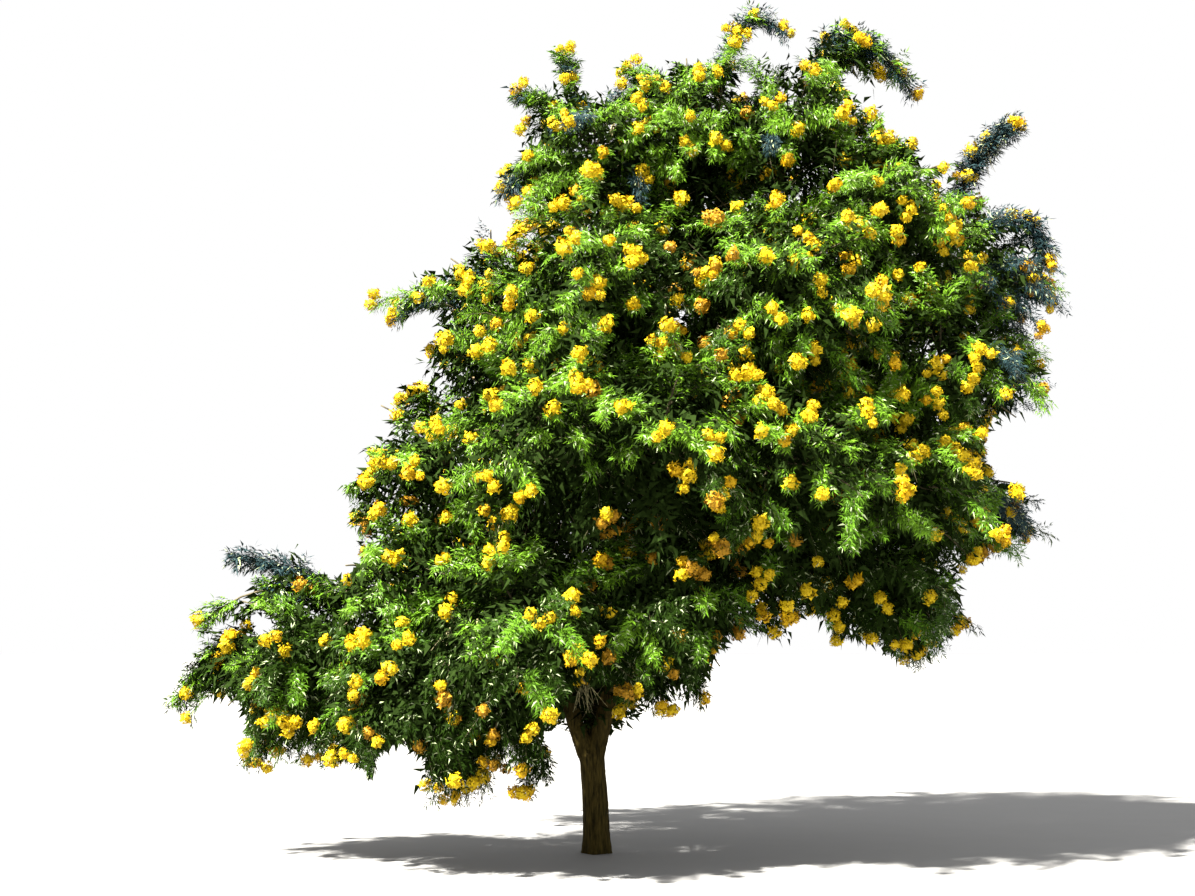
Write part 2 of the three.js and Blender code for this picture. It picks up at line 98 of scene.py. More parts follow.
# name: the stem its bough leaves and how far along, the mass's heart and reach, the tips of its plumes.
# A mass with no bough stands on the end of a stem.
MASSES = {
    "top_left": ("middle_stem", 0.72, (-0.06, 0.06, 5.3), 0.59,
                 [(-0.6, 0.06, 5.76), (-0.27, 0.08, 6.09), (-0.7, 0, 5.0)]),
    "top_middle": (None, 0, (0.73, 0.15, 5.5), 0.62,
                   [(0.26, 0.1, 5.97), (0.7, 0.1, 6.06), (1.04, 0.1, 6.33)]),
    "top_right": (None, 0, (1.62, -0.05, 5.58), 0.63,
                  [(1.24, 0, 6.39), (1.2, 0, 6.02), (1.85, 0, 6.29), (2.1, -0.05, 6.22), (2.4, -0.05, 5.8)]),
    "right_shoulder": ("right_stem", 0.74, (2.15, -0.45, 4.68), 0.65,
                       [(2.35, -0.3, 5.2), (2.2, -0.3, 5.3)]),
    "right_top": ("right_stem", 0.64, (2.95, 0.35, 4.42), 0.56,
                  [(3.18, 0.25, 5.6), (2.9, 0.3, 5.35), (3.5, 0.3, 4.66), (3.5, 0.3, 4.2)]),
    "left_shoulder": (None, 0, (-0.8, -0.08, 3.95), 0.7, [(-1.44, -0.12, 4.1), (-0.8, -0.15, 4.64)]),
    "centre_left": ("middle_stem", 0.5, (0, -1.2, 3.97), 0.7, []),
    "centre_right": ("right_stem", 0.56, (1.33, -1.3, 3.95), 0.72, []),
    "right_middle": ("right_stem", 0.48, (2.56, -0.4, 3.52), 0.72, [(3.36, 0.1, 3.64)]),
    "left_flank": ("left_stem", 0.6, (-1.24, -0.3, 2.76), 0.72,
                   [(-1.85, -0.35, 2.64), (-1.3, -0.3, 3.36), (-1.64, -0.4, 2.42)]),
    "front_left": ("left_stem", 0.5, (-0.34, -1.6, 2.84), 0.69, []),
    "front_middle": ("middle_stem", 0.33, (0.44, -1.8, 2.82), 0.68, []),
    "front_right": ("right_stem", 0.34, (1.36, -1.5, 2.72), 0.72, []),
    "right_low": ("right_stem", 0.38, (2.16, -0.85, 2.52), 0.67, []),
    "right_edge": ("right_stem", 0.42, (2.84, 0.55, 2.64), 0.54, [(3.34, 0.6, 2.42)]),
    "skirt_tip": ("left_stem", 0.3, (-2.24, -0.4, 1.44), 0.64,
                  [(-2.6, -0.33, 2.14), (-2.28, -0.42, 2.1), (-2.74, -0.43, 1.62),
                   (-3.04, -0.42, 1.12), (-2.41, -0.5, 0.72), (-1.98, -0.55, 0.77)]),
    "skirt_middle": ("left_stem", 0.36, (-1.54, -0.65, 1.82), 0.64, [(-2.08, -0.52, 1.96)]),
    "skirt_low": ("left_stem", 0.22, (-1.2, -1.08, 1.16), 0.6,
                  [(-0.96, -1.18, 0.56), (-1.76, -0.95, 0.76)]),
    "low_left": ("left_stem", 0.27, (-0.5, -1.48, 1.56), 0.64,
                 [(-0.5, -1.48, 0.54), (-0.66, -1.48, 0.78)]),
    "low_middle": ("middle_stem", 0.16, (0.5, -1.0, 1.76), 0.6, [(0.44, -1.08, 1.13), (0.72, -1.0, 1.19)]),
    "low_right": ("right_stem", 0.24, (1.24, -0.78, 2.2), 0.59, []),
    "hem_right": ("right_stem", 0.29, (2.14, -0.25, 1.96), 0.62, [(2.6, -0.2, 1.64), (2.35, -0.25, 1.51)]),
    "back_top": ("middle_stem", 0.8, (0.92, 1.25, 4.95), 0.8, []),
    "back_left": ("left_stem", 0.74, (-0.48, 1.3, 3.95), 0.82, []),
    "back_middle": ("middle_stem", 0.44, (0.8, 1.9, 3.6), 0.86, []),
    "back_right": ("right_stem", 0.52, (2.18, 1.5, 3.9), 0.82, []),
    "back_low_left": ("left_stem", 0.42, (-0.86, 1.35, 2.3), 0.82, []),
    "back_low_right": ("right_stem", 0.31, (1.3, 1.45, 2.56), 0.8, []),
}
HEARTS = np.array([mass[2] for mass in MASSES.values()], float)
REACHES = np.array([mass[3] for mass in MASSES.values()])
CROWN_MIDDLE = np.array([0.45, 0.0, 3.1])

# Openings where sky shows past the crown from the view point: across, height, radius in the trunk's plane

VIEW_POINT = np.array([0.007, -13.0, 1.6])
FORK_VIEW = (-0.05, 1.08, 0.19)
FORK_FRONT = -0.12
SKY_GAPS = np.array([
    (0.0, 0.66, 0.25), (1.13, 1.29, 0.32), (1.58, 1.6, 0.16), (2.98, 1.91, 0.28),
    (3.22, 2.98, 0.3), (3.19, 5.05, 0.19), (2.6, 5.32, 0.17), (0.72, 6.23, 0.26), (1.58, 6.14, 0.1),
    (1.97, 5.84, 0.09), (-0.02, 5.84, 0.13), (-0.68, 5.32, 0.14), (-1.2, 4.52, 0.2), (-1.33, 3.9, 0.15),
    (-1.74, 3.35, 0.24), (-1.89, 2.89, 0.17), (-1.95, 2.21, 0.2), (-2.67, 1.91, 0.13), (-2.5, 1.68, 0.1),
    (-2.78, 0.98, 0.19), (-1.45, 0.62, 0.19), (1.9, 1.15, 0.42), (1.14, 5.8, 0.09),
    (2.31, 5.5, 0.11), (-0.76, 4.66, 0.12), (-1.86, 0.46, 0.2), (0.62, 3.99, 0.07),
    (-0.27, 0.84, 0.14), (0.34, 0.8, 0.2), (-2.1, 2.52, 0.26), (-2.3, 2.54, 0.17), (2.56, 1.2, 0.2),
])

# Plumes that bow over, within the reach of the solids: mass, foot, bend, tip
BOWED_PLUMES = [
    ("skirt_tip", (-1.6, -0.48, 1.82), (-2.15, -0.42, 2.09), (-2.64, -0.36, 2.16)),
    ("skirt_tip", (-1.75, -0.48, 1.78), (-2.38, -0.45, 2.12), (-2.84, -0.45, 1.68)),
    ("skirt_tip", (-2.1, -0.45, 1.48), (-2.7, -0.45, 1.8), (-3.0, -0.43, 1.1)),
    ("skirt_tip", (-2.1, -0.5, 1.4), (-2.6, -0.5, 1.66), (-2.9, -0.45, 1.2)),
    ("low_left", (-0.5, -1.4, 1.3), (-0.36, -1.45, 0.95), (-0.36, -1.42, 0.68)),
    ("low_left", (-0.55, -1.38, 1.3), (-0.44, -1.4, 0.95), (-0.46, -1.4, 0.6)),
    ("left_shoulder", (-0.95, -0.1, 4.15), (-1.2, -0.1, 4.24), (-1.5, -0.12, 4.0)),
    ("top_middle", (0.94, 0.05, 5.6), (1.06, 0.05, 6.7), (1.48, 0.0, 6.2)),
    ("top_right", (1.6, -0.05, 5.8), (1.84, -0.03, 6.64), (2.44, -0.05, 5.72)),
    ("top_right", (1.62, -0.1, 5.7), (1.95, -0.12, 6.42), (2.34, -0.15, 5.82)),
    ("top_right", (1.7, -0.05, 5.7), (1.9, -0.05, 6.3), (2.12, -0.05, 5.92)),
    ("right_top", (2.84, 0.3, 4.8), (2.9, 0.3, 5.46), (3.28, 0.25, 5.6)),
    ("right_top", (2.76, 0.3, 4.75), (2.9, 0.3, 5.36), (3.3, 0.25, 5.54)),
    ("right_top", (2.88, 0.3, 4.75), (3.5, 0.3, 5.0), (3.5, 0.3, 4.5)),
]

# A bowed plume stands in for a straight one that ends this near to it
BOWED_NEAR = 0.2
BOWED_STEPS = 20

# The end of a plume with slender leaves and no flowers, and how far around it that holds
BARE_PLUME = np.array([-2.42, -0.38, 2.15])
BARE_REACH = 0.42

# Twigs of a mass, by the rule of the solids

MASS_STEM_RISE = 0.2
MASS_STEM_BEND = 0.5
MASS_STEM_TIP_RADIUS = 0.008
TWIGS_IN_MASS = 10
TWIG_HIGHEST = 0.95
TWIG_LOWEST = -0.85
TWIG_ARCH = 0.2
TWIG_REACH = 0.86
TWIG_BASE_RADIUS = 0.012
TWIG_TIP_RADIUS = 0.005
STEM_LENGTHS = 5
SHORTENINGS = (1, 0.8, 0.6, 0.45)
SPACE_GAP = 0.003

# Shoots that carry the twigs on to finer wood, and the leafy length of each

SHOOT_PLACES = (0.32, 0.52, 0.72, 0.92)
PLUME_SHOOT_PLACES = (0.12, 0.2, 0.28, 0.36, 0.44, 0.52, 0.6, 0.68, 0.76, 0.84, 0.92)
PLUME_SHOOT_SHARE = 0.13
SHOOT_LENGTH = 0.62
SHOOT_TAPER = 0.42
SHOOT_SPLAY = 1.0
SHOOT_ARCH = 0.3
SHOOT_DROOP = 0.12
SHOOT_LENGTHS = (0.75, 1.2)
SHOOT_TILTS = (-0.5, 0.9)
SHOOT_WANDER = 0.12
SHOOT_BEND = 0.5
SHOOT_RUN = 0.92
WEEPING_DROOP = 0.3
WEEPING_TIP = 0.9
WEEPING_SHOOT_PLACES = (0.2, 0.32, 0.44, 0.56, 0.68, 0.8, 0.92)
WEEPING_MASSES = ("skirt_tip", "skirt_low", "low_left", "low_middle")
FULL_MASSES = WEEPING_MASSES + (
    "centre_left", "centre_right", "right_shoulder", "top_left", "top_middle", "top_right", "right_top",
    "right_middle", "right_edge", "hem_right", "back_low_left", "back_low_right", "back_right",
)
SHOOT_TRESPASS = 0.14
SHOOT_STRAY = 0.28
WEEPING_STRAY = 0.19
SHOOT_GROUND = 0.42
HEM_UNEVEN = 0.18
HEM_TWIGS = 8
HEM_HIGHEST = -0.1
HEM_LOWEST = -0.95
HEM_FEET = 0.5
SHOOT_SHORTENINGS = (1, 0.75, 0.5, 0.3)
SHOOT_WATCHED = np.array([0.4, 0.6, 0.8, 1.0])
SHOOT_BASE_RADIUS = 0.0042
SHOOT_TIP_RADIUS = 0.0015
TWIG_LEAFY_FROM = 0.42
PLUME_LEAFY_FROM = 0.25
SHOOT_LEAFY_FROM = 0.1

# Leaves: opposite pairs of pinnate leaves along each leafy length

LEAF_SPACING = 0.0142
DEEP_SPACING = 1.25
UNDERSIDE_SPACING = 1.35
UNDERSIDE = -0.3
BURIED_DEPTH = -0.2
BURIED_SHARE = 0.38
GLINT_SHARE = 0.065
PLUME_LEAF_SPACING = 0.007
PLUME_LEAF_SIZE = 1.2
SLENDER_LEAF_SIZE = 1.3
LEAF_LENGTH = 0.084
LEAF_OUT = 0.7
LEAF_AHEAD = 0.75
FACE_SPRAY = 0.5
FACE_MASS = 0.85
FACE_UP = 0.2
LEAF_HANG = 0.1
FEWEST_PAIRS = 3
LEAF_TURN_WANDER = 0.3
LEAF_WANDER = 0.16
LEAF_SIZES = (0.8, 1.2)
LEAF_FULL = 1.08
LEAF_SHRINK = 0.3
RACHIS_HALF_WIDTH = 0.001
LEAFLET_PLACES = np.array([0.2, 0.2, 0.45, 0.45, 0.7, 0.7, 0.95, 0.95, 1.0])
LEAFLET_SIDES = np.array([1, -1, 1, -1, 1, -1, 1, -1, 0])
LEAFLET_LENGTH = 0.046
LEAFLET_WIDTH = 0.0084
LEAFLET_WIDEST = 0.35
LEAFLET_AHEAD = 0.5
LEAFLET_SPREAD = 0.75
LEAFLET_ROLL = 0.36
LEAFLET_HANG = 0.12
LEAFLET_CURL = 0.12
LEAFLET_WANDER = 0.2
LEAFLET_LENGTHS = (0.8, 1.15)

# Broad leaves in the shade: close to the wood of twigs and shoots, and on short twigs of the limbs
# Their very dark colour is painted shade.

SHADE_TWIG_TO = 0.8
SHADE_SHOOT_TO = 0.7
SHADE_SPACING = 0.033
SHADE_SIZE = 1.9
INNER_SIZE = 2.1
SHADE_WIDTH = 1.9
SHADE_DEPTH = -0.03
HEM_DEPTH = 0.0
INNER_DEPTH = 0.08
STEMS_REACH = 0.8
STEMS_TOP = 3.0
CORE_MASSES = 3
CORE_NEAR = 0.5
CORE_MIDDLE = np.array([0.5, 0.25, 3.2])
CORE_RADII = np.array([1.6, 1.1, 1.8])
SHADE_PLACES = np.array([0.55, 0.55, 1.0])
SHADE_SIDES = np.array([1, -1, 0])
INNER_SPACING = 0.075
INNER_LENGTH = 0.9
INNER_AHEAD = 0.5
INNER_RISE = 0.1
INNER_LENGTHS = (0.7, 1.15)
INNER_LOWEST = 0.88
INNER_STEM_FROM = 0.045
INNER_BOUGH_FROM = 0.3
INNER_STRAY = 0.12
INNER_SHORTENINGS = (1, 0.7, 0.45)
FORK_TWIGS = 16
FORK_TWIGS_SPAN = (0.04, 0.16)
FORK_TWIG_LENGTH = 0.24
FORK_TWIG_RISE = 0.25
PIECE_TRIANGLES = 190000

# Flowers in round heads at shoot ends, and pods in hanging bunches

HEAD_CHANCE = 0.76
RICH_HEAD_CHANCE = 1.0
RIGHT_HEAD_CHANCE = 0.4
WEEPING_HEAD_CHANCE = 0.54
PLUME_HEAD_CHANCE = 0.75
HEAD_MARGIN = -0.05
# Heads among buried shoots, all in the browner tint of painted shade
PAINTED_SHADE_HEAD_CHANCE = 0.3
PAINTED_SHADE_HEAD_MARGIN = -0.25
HEAD_OUT = 0.035
HEAD_LIFT = 0.5
HEAD_AHEAD = 0.4
HEAD_WANDER = 0.15
HEAD_SIZES = (0.8, 1.2)
SIDE_HEAD_SIZE = 0.85
HEAD_STRAY = 0.27
HANGING_STRAY = 0.2
HANGING = -0.25
HEADS_APART = 0.085
CLUSTERS_APART = 0.18
RICH_MASSES = {"left_flank", "left_shoulder", "front_left"}
RICH_APART = 0.14
HEAD_CLEAR = 0.055
HEADS_TOGETHER = (0.48, 0.29, 0.15, 0.08)
FLOWERS_IN_HEAD = 22
HEAD_ROUND = 1.92
FLOWER_LENGTH = 0.049
FLOWER_DEPTHS = (0.62, 1.14)
FLOWER_RIM = 0.86
FLOWER_MOUTH = 0.0215
PETAL_TILT = 0.42
FLOWER_PETALS = 5
PETAL_HALF_ANGLE = 0.47
FLOWER_WANDER = 0.16
FLOWER_SIZES = (0.9, 1.1)
# Golden heads: a share of older flowers, and a larger share on the side turned from the sun as painted shade
OLDER_SHARE = 0.12
SHADED_GOLDEN_SHARE = 0.4
POD_BUNCHES = 40
PODS_IN_BUNCH = 6
POD_LENGTH = 0.19
POD_RADIUS = 0.0045
POD_TIP_RADIUS = 0.001
POD_MARGIN = -0.1
POD_WANDER = 0.28
POD_LENGTHS = (0.75, 1.2)
POD_BEND = 0.5
POD_SAG = 0.02
FORK_PODS = np.array([(-0.09, -0.14, 1.28), (-0.06, -0.14, 1.24), (-0.12, -0.13, 1.22)])


def unit(vectors):
    """Vectors of length one along the given ones."""
    vectors = np.asarray(vectors, float)
    return vectors / np.maximum(np.linalg.norm(vectors, axis=-1, keepdims=True), TINY)


def vary(seed, draw):
    """A repeatable number from 0 to 1."""
    value = math.sin(seed * SCATTER[0] + draw * SCATTER[1]) * SCATTER_SCALE
    return value - math.floor(value)


class Bow:
    """A curved run of wood from its foot past its bend to its tip, measured along its length."""

    steps = 200

    def __init__(self, foot, bend, tip):
        self.knots = np.array([foot, bend, tip], float)
        self.params = np.linspace(0, 1, self.steps + 1)
        points = bow_points(self.knots[None], self.params)[0]
        run = np.linalg.norm(np.diff(points, axis=0), axis=1)
        travelled = np.concatenate([[0], np.cumsum(run)])
        self.length = travelled[-1]
        self.shares = travelled / self.length

    def at(self, share):
        param = np.interp(share, self.shares, self.params)
        return bow_points(self.knots[None], np.atleast_1d(param))[0].reshape(np.shape(share) + (3,))

    def heading(self, share):
        param = np.interp(share, self.shares, self.params)
        return bow_headings(self.knots[None], np.atleast_1d(param))[0].reshape(np.shape(share) + (3,))


def bow_points(knots, params):
    """Points on many bows, at the same parameters or at each bow's own: bows, parameters, 3."""
    t = params[..., None]
    foot, bend, tip = (knots[:, k, None, :] for k in range(3))
    return (1 - t) ** 2 * foot + 2 * t * (1 - t) * bend + t**2 * tip


def bow_headings(knots, params):
    """Directions on many bows, at the same parameters or at each bow's own."""
    t = params[..., None]
    foot, bend, tip = (knots[:, k, None, :] for k in range(3))
    return unit((1 - t) * (bend - foot) + t * (tip - bend))


def raised(start, end, share):
    """The bend of a bow that lifts by a share of its span."""
    start, end = np.asarray(start, float), np.asarray(end, float)
    return (start + end) / 2 + UP * share * np.linalg.norm(end - start)


def tapered(base, tip):
    """Radius along a limb that swells into a collar at its foot."""

    def radius(share):
        collar = 1 + COLLAR * np.maximum(0, 1 - share / COLLAR_LENGTH) ** 2
        return (base + (tip - base) * share) * collar

    return radius


def trunk_radius(share):
    flare = ROOT_FLARE * np.exp(-share * TRUNK_HEIGHT / ROOT_FLARE_HEIGHT)
    return TRUNK_FOOT_RADIUS + (TRUNK_TOP_RADIUS - TRUNK_FOOT_RADIUS) * share + flare


def run_into(mass, foot, bend):
    """A limb's bow, which ends where it enters the mass."""
    _, _, heart, reach, _ = MASSES[mass]
    heart = np.array(heart, float)
    return Bow(foot, bend, heart + unit(np.asarray(bend) - heart) * BOUGH_ENTRY * reach)


def grow_limbs():
    """The stems and boughs as name: bow and radius, and each mass's limb."""
    limbs, carriers = {}, {}
    for name, (foot, bend, mass, radius) in STEMS.items():
        limbs[name] = (run_into(mass, foot, bend), tapered(radius, STEM_TIP_RADIUS))
        carriers[mass] = name
    for mass, (stem, fork, heart, _, _) in MASSES.items():
        if stem:
            bow, radius_at = limbs[stem]
            foot = bow.at(fork)
            base = min(BOUGH_BASE_MOST, BOUGH_BASE_SHARE * float(radius_at(fork)))
            bough = run_into(mass, foot, raised(foot, heart, BOUGH_LIFT))
            limbs[f"{mass}_bough"] = (bough, tapered(base, BOUGH_TIP_RADIUS))
            carriers[mass] = f"{mass}_bough"
    return limbs, carriers


def depth_in_space(owner, point):
    """How far a point lies inside its mass's own share of the crown, against its nearest neighbour."""
    power = np.sum((point - HEARTS) ** 2, axis=1) - REACHES**2
    apart = np.linalg.norm(HEARTS - HEARTS[owner], axis=1)
    others = apart > 0
    return np.min((power[others] - power[owner]) / (2 * apart[others]))


def spiral_way(k, count, highest, lowest, start):
    """A direction on a spiral over a mass, which winds from its highest to its lowest."""
    height = highest + (lowest - highest) * (k + 0.5) / count
    turn = k * GOLDEN_ANGLE + 2 * math.pi * start
    breadth = math.sqrt(1 - height * height)
    return np.array([breadth * math.cos(turn), breadth * math.sin(turn), height])


def twig_ends(seed, heart, reach, plumes):
    """Ends of a mass's twigs: its plumes, then a spiral over the mass from top to bottom."""
    ends = [np.array(plume, float) for plume in plumes]
    count = TWIGS_IN_MASS - len(plumes)
    for k in range(count):
        way = spiral_way(k, count, TWIG_HIGHEST, TWIG_LOWEST, vary(seed, 0))
        ends.append(heart + way * TWIG_REACH * reach)
    return ends


def grow_twigs(limbs, carriers):
    """The mass stems and twigs: lists of bows, with each twig's mass and whether it is a plume."""
    stems, twigs = [], []
    for seed, (mass, (_, _, heart, reach, plumes)) in enumerate(MASSES.items()):
        heart = np.array(heart, float)
        limb = limbs[carriers[mass]][0]
        aim = limb.heading(1.0)
        foot = limb.at(1.0) + aim * JOINT_GAP
        top = heart + UP * MASS_STEM_RISE * reach
        stem = Bow(foot, foot + aim * MASS_STEM_BEND * np.linalg.norm(top - foot), top)
        stems.append(stem)
        ends = twig_ends(seed, heart, reach, plumes)
        for index, end in enumerate(ends):
            rank = sum(other[2] < end[2] for other in ends)
            place = (math.floor(rank / TWIGS_IN_MASS * STEM_LENGTHS) + 0.5) / STEM_LENGTHS
            base = stem.at(place)
            for share in SHORTENINGS:
                tip = heart + (end - heart) * share
                if depth_in_space(seed, tip) > SPACE_GAP:
                    bow = Bow(base, raised(base, tip, TWIG_ARCH), tip)
                    twigs.append((bow, seed, index < len(plumes)))
                    break
    return stems, twigs


def grow_hem_twigs(stems):
    """More twigs under the fuller masses, which close the crown below in a full hem."""
    twigs = []
    for seed, (mass, (_, _, heart, reach, _)) in enumerate(MASSES.items()):
        if mass not in FULL_MASSES:
            continue
        for k in range(HEM_TWIGS):
            way = spiral_way(k, HEM_TWIGS, HEM_HIGHEST, HEM_LOWEST, vary(seed, 1))
            base = stems[seed].at((k + 0.5) / HEM_TWIGS * HEM_FEET)
            for share in SHORTENINGS:
                tip = np.array(heart) + way * reach * share
                clear = depth_in_space(seed, tip) > SPACE_GAP and tip[2] > SHOOT_GROUND
                if clear and not in_sky_gap(tip).any():
                    twigs.append((Bow(base, raised(base, tip, TWIG_ARCH), tip), seed, False))
                    break
    return twigs


def bowed_plumes():
    """The plumes that bow over, as twigs."""
    names = list(MASSES)
    return [(Bow(foot, bend, tip), names.index(mass), True) for mass, foot, bend, tip in BOWED_PLUMES]


def without_bowed(twigs, bowed):
    """Twigs without the straight plumes that a bowed one stands in for."""
    courses = np.concatenate([bow.at(np.linspace(0, 1, BOWED_STEPS)) for bow, _, _ in bowed])
    apart = [np.linalg.norm(courses - bow.knots[2], axis=1).min() for bow, _, _ in twigs]
    return [twig for twig, far in zip(twigs, apart) if not twig[2] or far > BOWED_NEAR]


def seen_in_plane(points):
    """Where points stand in the trunk's plane, seen from the view point."""
    nearness = -VIEW_POINT[1] / (points[:, 1] - VIEW_POINT[1])
    return VIEW_POINT + (points - VIEW_POINT) * nearness[:, None]


def in_sky_gap(points):
    """Whether points stand in an opening that shows sky, or before the fork."""
    points = np.atleast_2d(points)
    seen = seen_in_plane(points)
    apart = np.hypot(seen[:, :1] - SKY_GAPS[:, 0], seen[:, 2:] - SKY_GAPS[:, 1])
    from_fork = np.hypot(seen[:, 0] - FORK_VIEW[0], seen[:, 2] - FORK_VIEW[1])
    before_fork = (from_fork < FORK_VIEW[2]) & (points[:, 1] < FORK_FRONT)
    return np.any(apart < SKY_GAPS[:, 2], axis=1) | before_fork


def out_of_masses(points):
    """How far points lie outside the nearest mass: negative inside it."""
    nearest = np.full(len(points), np.inf)
    for heart, reach in zip(HEARTS, REACHES):
        nearest = np.minimum(nearest, np.linalg.norm(points - heart, axis=1) - reach)
    return nearest


def from_masses(points):
    """How far points lie outside every mass, the nearest first: negative inside."""
    return np.sort(np.linalg.norm(points[:, None, :] - HEARTS[None], axis=2) - REACHES, axis=1)


def in_core(points):
    """Whether points stand round the stems, in the heart of the crown or among three masses."""
    by_stems = (np.hypot(points[:, 0], points[:, 1]) < STEMS_REACH) & (points[:, 2] < STEMS_TOP)
    in_heart = np.linalg.norm((points - CORE_MIDDLE) / CORE_RADII, axis=1) < 1
    return by_stems | in_heart | (from_masses(points)[:, CORE_MASSES - 1] < CORE_NEAR)


def in_solid_box(point):
    """Whether a point keeps to the box of the solids."""
    low, high = np.array(solid_box)
    return bool(np.all(point > low) and np.all(point < high))


def grow_shoots(twigs):
    """Side shoots, by turns left and right of every twig: their knots, masses and plume flags."""
    knots, owners, plumed = [], [], []
    for bow, owner, plume in twigs:
        tail = plume
        places = PLUME_SHOOT_PLACES if plume else SHOOT_PLACES
        if list(MASSES)[owner] in WEEPING_MASSES and (not plume or bow.knots[2, 2] < WEEPING_TIP):
            tail = False
            places = WEEPING_SHOOT_PLACES
        for k, place in enumerate(places):
            foot = bow.at(place)
            run = bow.heading(place)
            across = unit(np.cross(run, UP))
            above = np.cross(across, run)
            full = SHOOT_LENGTH * (1 - SHOOT_TAPER * place) * dice.uniform(*SHOOT_LENGTHS)
            full *= PLUME_SHOOT_SHARE if tail else 1
            tilt = dice.uniform(*SHOOT_TILTS)
            side = 1 if k % 2 else -1
            out = across * side * math.cos(tilt) + above * math.sin(tilt)
            way = unit(run + out * SHOOT_SPLAY + dice.normal(0, SHOOT_WANDER, 3))
            weeping = places is WEEPING_SHOOT_PLACES and foot[2] < HEARTS[owner, 2]
            droop, stray = (WEEPING_DROOP, WEEPING_STRAY) if weeping else (SHOOT_DROOP, SHOOT_STRAY)
            ground = SHOOT_GROUND + dice.uniform(0, HEM_UNEVEN)
            for share in SHOOT_SHORTENINGS:
                length = full * share
                bend = foot + unit(way + UP * SHOOT_ARCH) * length * SHOOT_BEND
                tip = foot + way * length * SHOOT_RUN - UP * droop * length
                clear = depth_in_space(owner, tip) > -SHOOT_TRESPASS
                clear = clear and tip[2] > ground and in_solid_box(tip)
                clear = clear and (tail or out_of_masses(tip[None])[0] < stray)
                course = bow_points(np.array([(foot, bend, tip)]), SHOOT_WATCHED)[0]
                if clear and not in_sky_gap(course).any():
                    knots.append((foot, bend, tip))
                    owners.append(owner)
                    plumed.append(tail)
                    break
    return np.array(knots), np.array(owners), np.array(plumed)


def grow_inner_twigs(limbs):
    """Short shaded twigs that spiral along the stems and boughs, inside the crown and behind the fork."""
    knots = []
    for name, (bow, _) in limbs.items():
        start = INNER_STEM_FROM if name in STEMS else INNER_BOUGH_FROM
        for k, place in enumerate(np.arange(start, 1, INNER_SPACING / bow.length)):
            foot = bow.at(place)
            run = bow.heading(place)
            across = unit(np.cross(run, LIMB_ASIDE))
            above = np.cross(across, run)
            turn = k * GOLDEN_ANGLE
            way = across * math.cos(turn) + above * math.sin(turn) + run * INNER_AHEAD
            way = unit(way + UP * INNER_RISE)
            full = INNER_LENGTH * dice.uniform(*INNER_LENGTHS)
            for share in INNER_SHORTENINGS:
                tip = foot + way * full * share
                knot = (foot, raised(foot, tip, TWIG_ARCH), tip)
                inside = in_core(tip[None])[0] or out_of_masses(tip[None])[0] < INNER_STRAY
                course = bow_points(np.array([knot]), SHOOT_WATCHED)[0]
                if inside and tip[2] > INNER_LOWEST and not in_sky_gap(course).any():
                    knots.append(knot)
                    break
    for name in STEMS:
        for k, place in enumerate(np.linspace(*FORK_TWIGS_SPAN, FORK_TWIGS)):
            foot = limbs[name][0].at(place)
            turn = k * GOLDEN_ANGLE
            way = unit([math.cos(turn), abs(math.sin(turn)), FORK_TWIG_RISE])
            tip = foot + way * FORK_TWIG_LENGTH * dice.uniform(*INNER_LENGTHS)
            knots.append((foot, (foot + tip) / 2, tip))
    return np.array(knots)


def crown_margin(points):
    """How far points stand out of the two nearest masses: negative where they are buried."""
    return from_masses(points)[:, :2].mean(axis=1)


# Meshes from arrays, for what repeats in thousands


def joined_mesh(name, points, triangles, material):
    """One piece out of many small ones."""
    mesh = bpy.data.meshes.new(name)
    mesh.vertices.add(len(points))
    mesh.vertices.foreach_set("co", points.astype(np.float32).ravel())
    mesh.loops.add(triangles.size)
    mesh.loops.foreach_set("vertex_index", triangles.astype(np.int32).ravel())
    mesh.polygons.add(len(triangles))
    mesh.polygons.foreach_set("loop_start", np.arange(0, triangles.size, 3, dtype=np.int32))
    mesh.update(calc_edges=True)
    piece = bpy.data.objects.new(name, mesh)
    bpy.context.scene.collection.objects.link(piece)
    mesh.materials.append(material)
    return piece


def repeat_faces(faces, copies, corners):
    """The faces of one small thing, numbered for every copy of it."""
    return (np.asarray(faces)[None] + (np.arange(copies) * corners)[:, None, None]).reshape(-1, 3)


def slender_tubes(knots, base, tip, sides, rings):
    """Closed tapering tubes along many bows."""
    count = len(knots)
    params = np.linspace(0, 1, rings)
    centres = bow_points(knots, params)
    ahead = bow_headings(knots, params)
    flat = np.cross(knots[:, 1] - knots[:, 0], knots[:, 2] - knots[:, 0])
    bent = np.linalg.norm(flat, axis=1, keepdims=True) > STRAIGHT
    flat = np.where(bent, flat, np.cross(ahead[:, 0], TUBE_ASIDE))
    first = np.repeat(unit(flat)[:, None, :], rings, axis=1)
    second = np.cross(ahead, first)
    radii = base + (tip - base) * params
    turns = np.arange(sides) * 2 * math.pi / sides
    around = first[:, :, None] * np.cos(turns)[:, None] + second[:, :, None] * np.sin(turns)[:, None]
    points = centres[:, :, None] + around * radii[:, None, None]
    faces = []
    for ring in range(rings - 1):
        for side in range(sides):
            a, b = ring * sides + side, ring * sides + (side + 1) % sides
            faces += [(a, b, b + sides), (a, b + sides, a + sides)]
    last = (rings - 1) * sides
    for side in range(1, sides - 1):
        faces += [(0, side + 1, side), (last, last + side, last + side + 1)]
    return points.reshape(-1, 3), repeat_faces(faces, count, rings * sides)


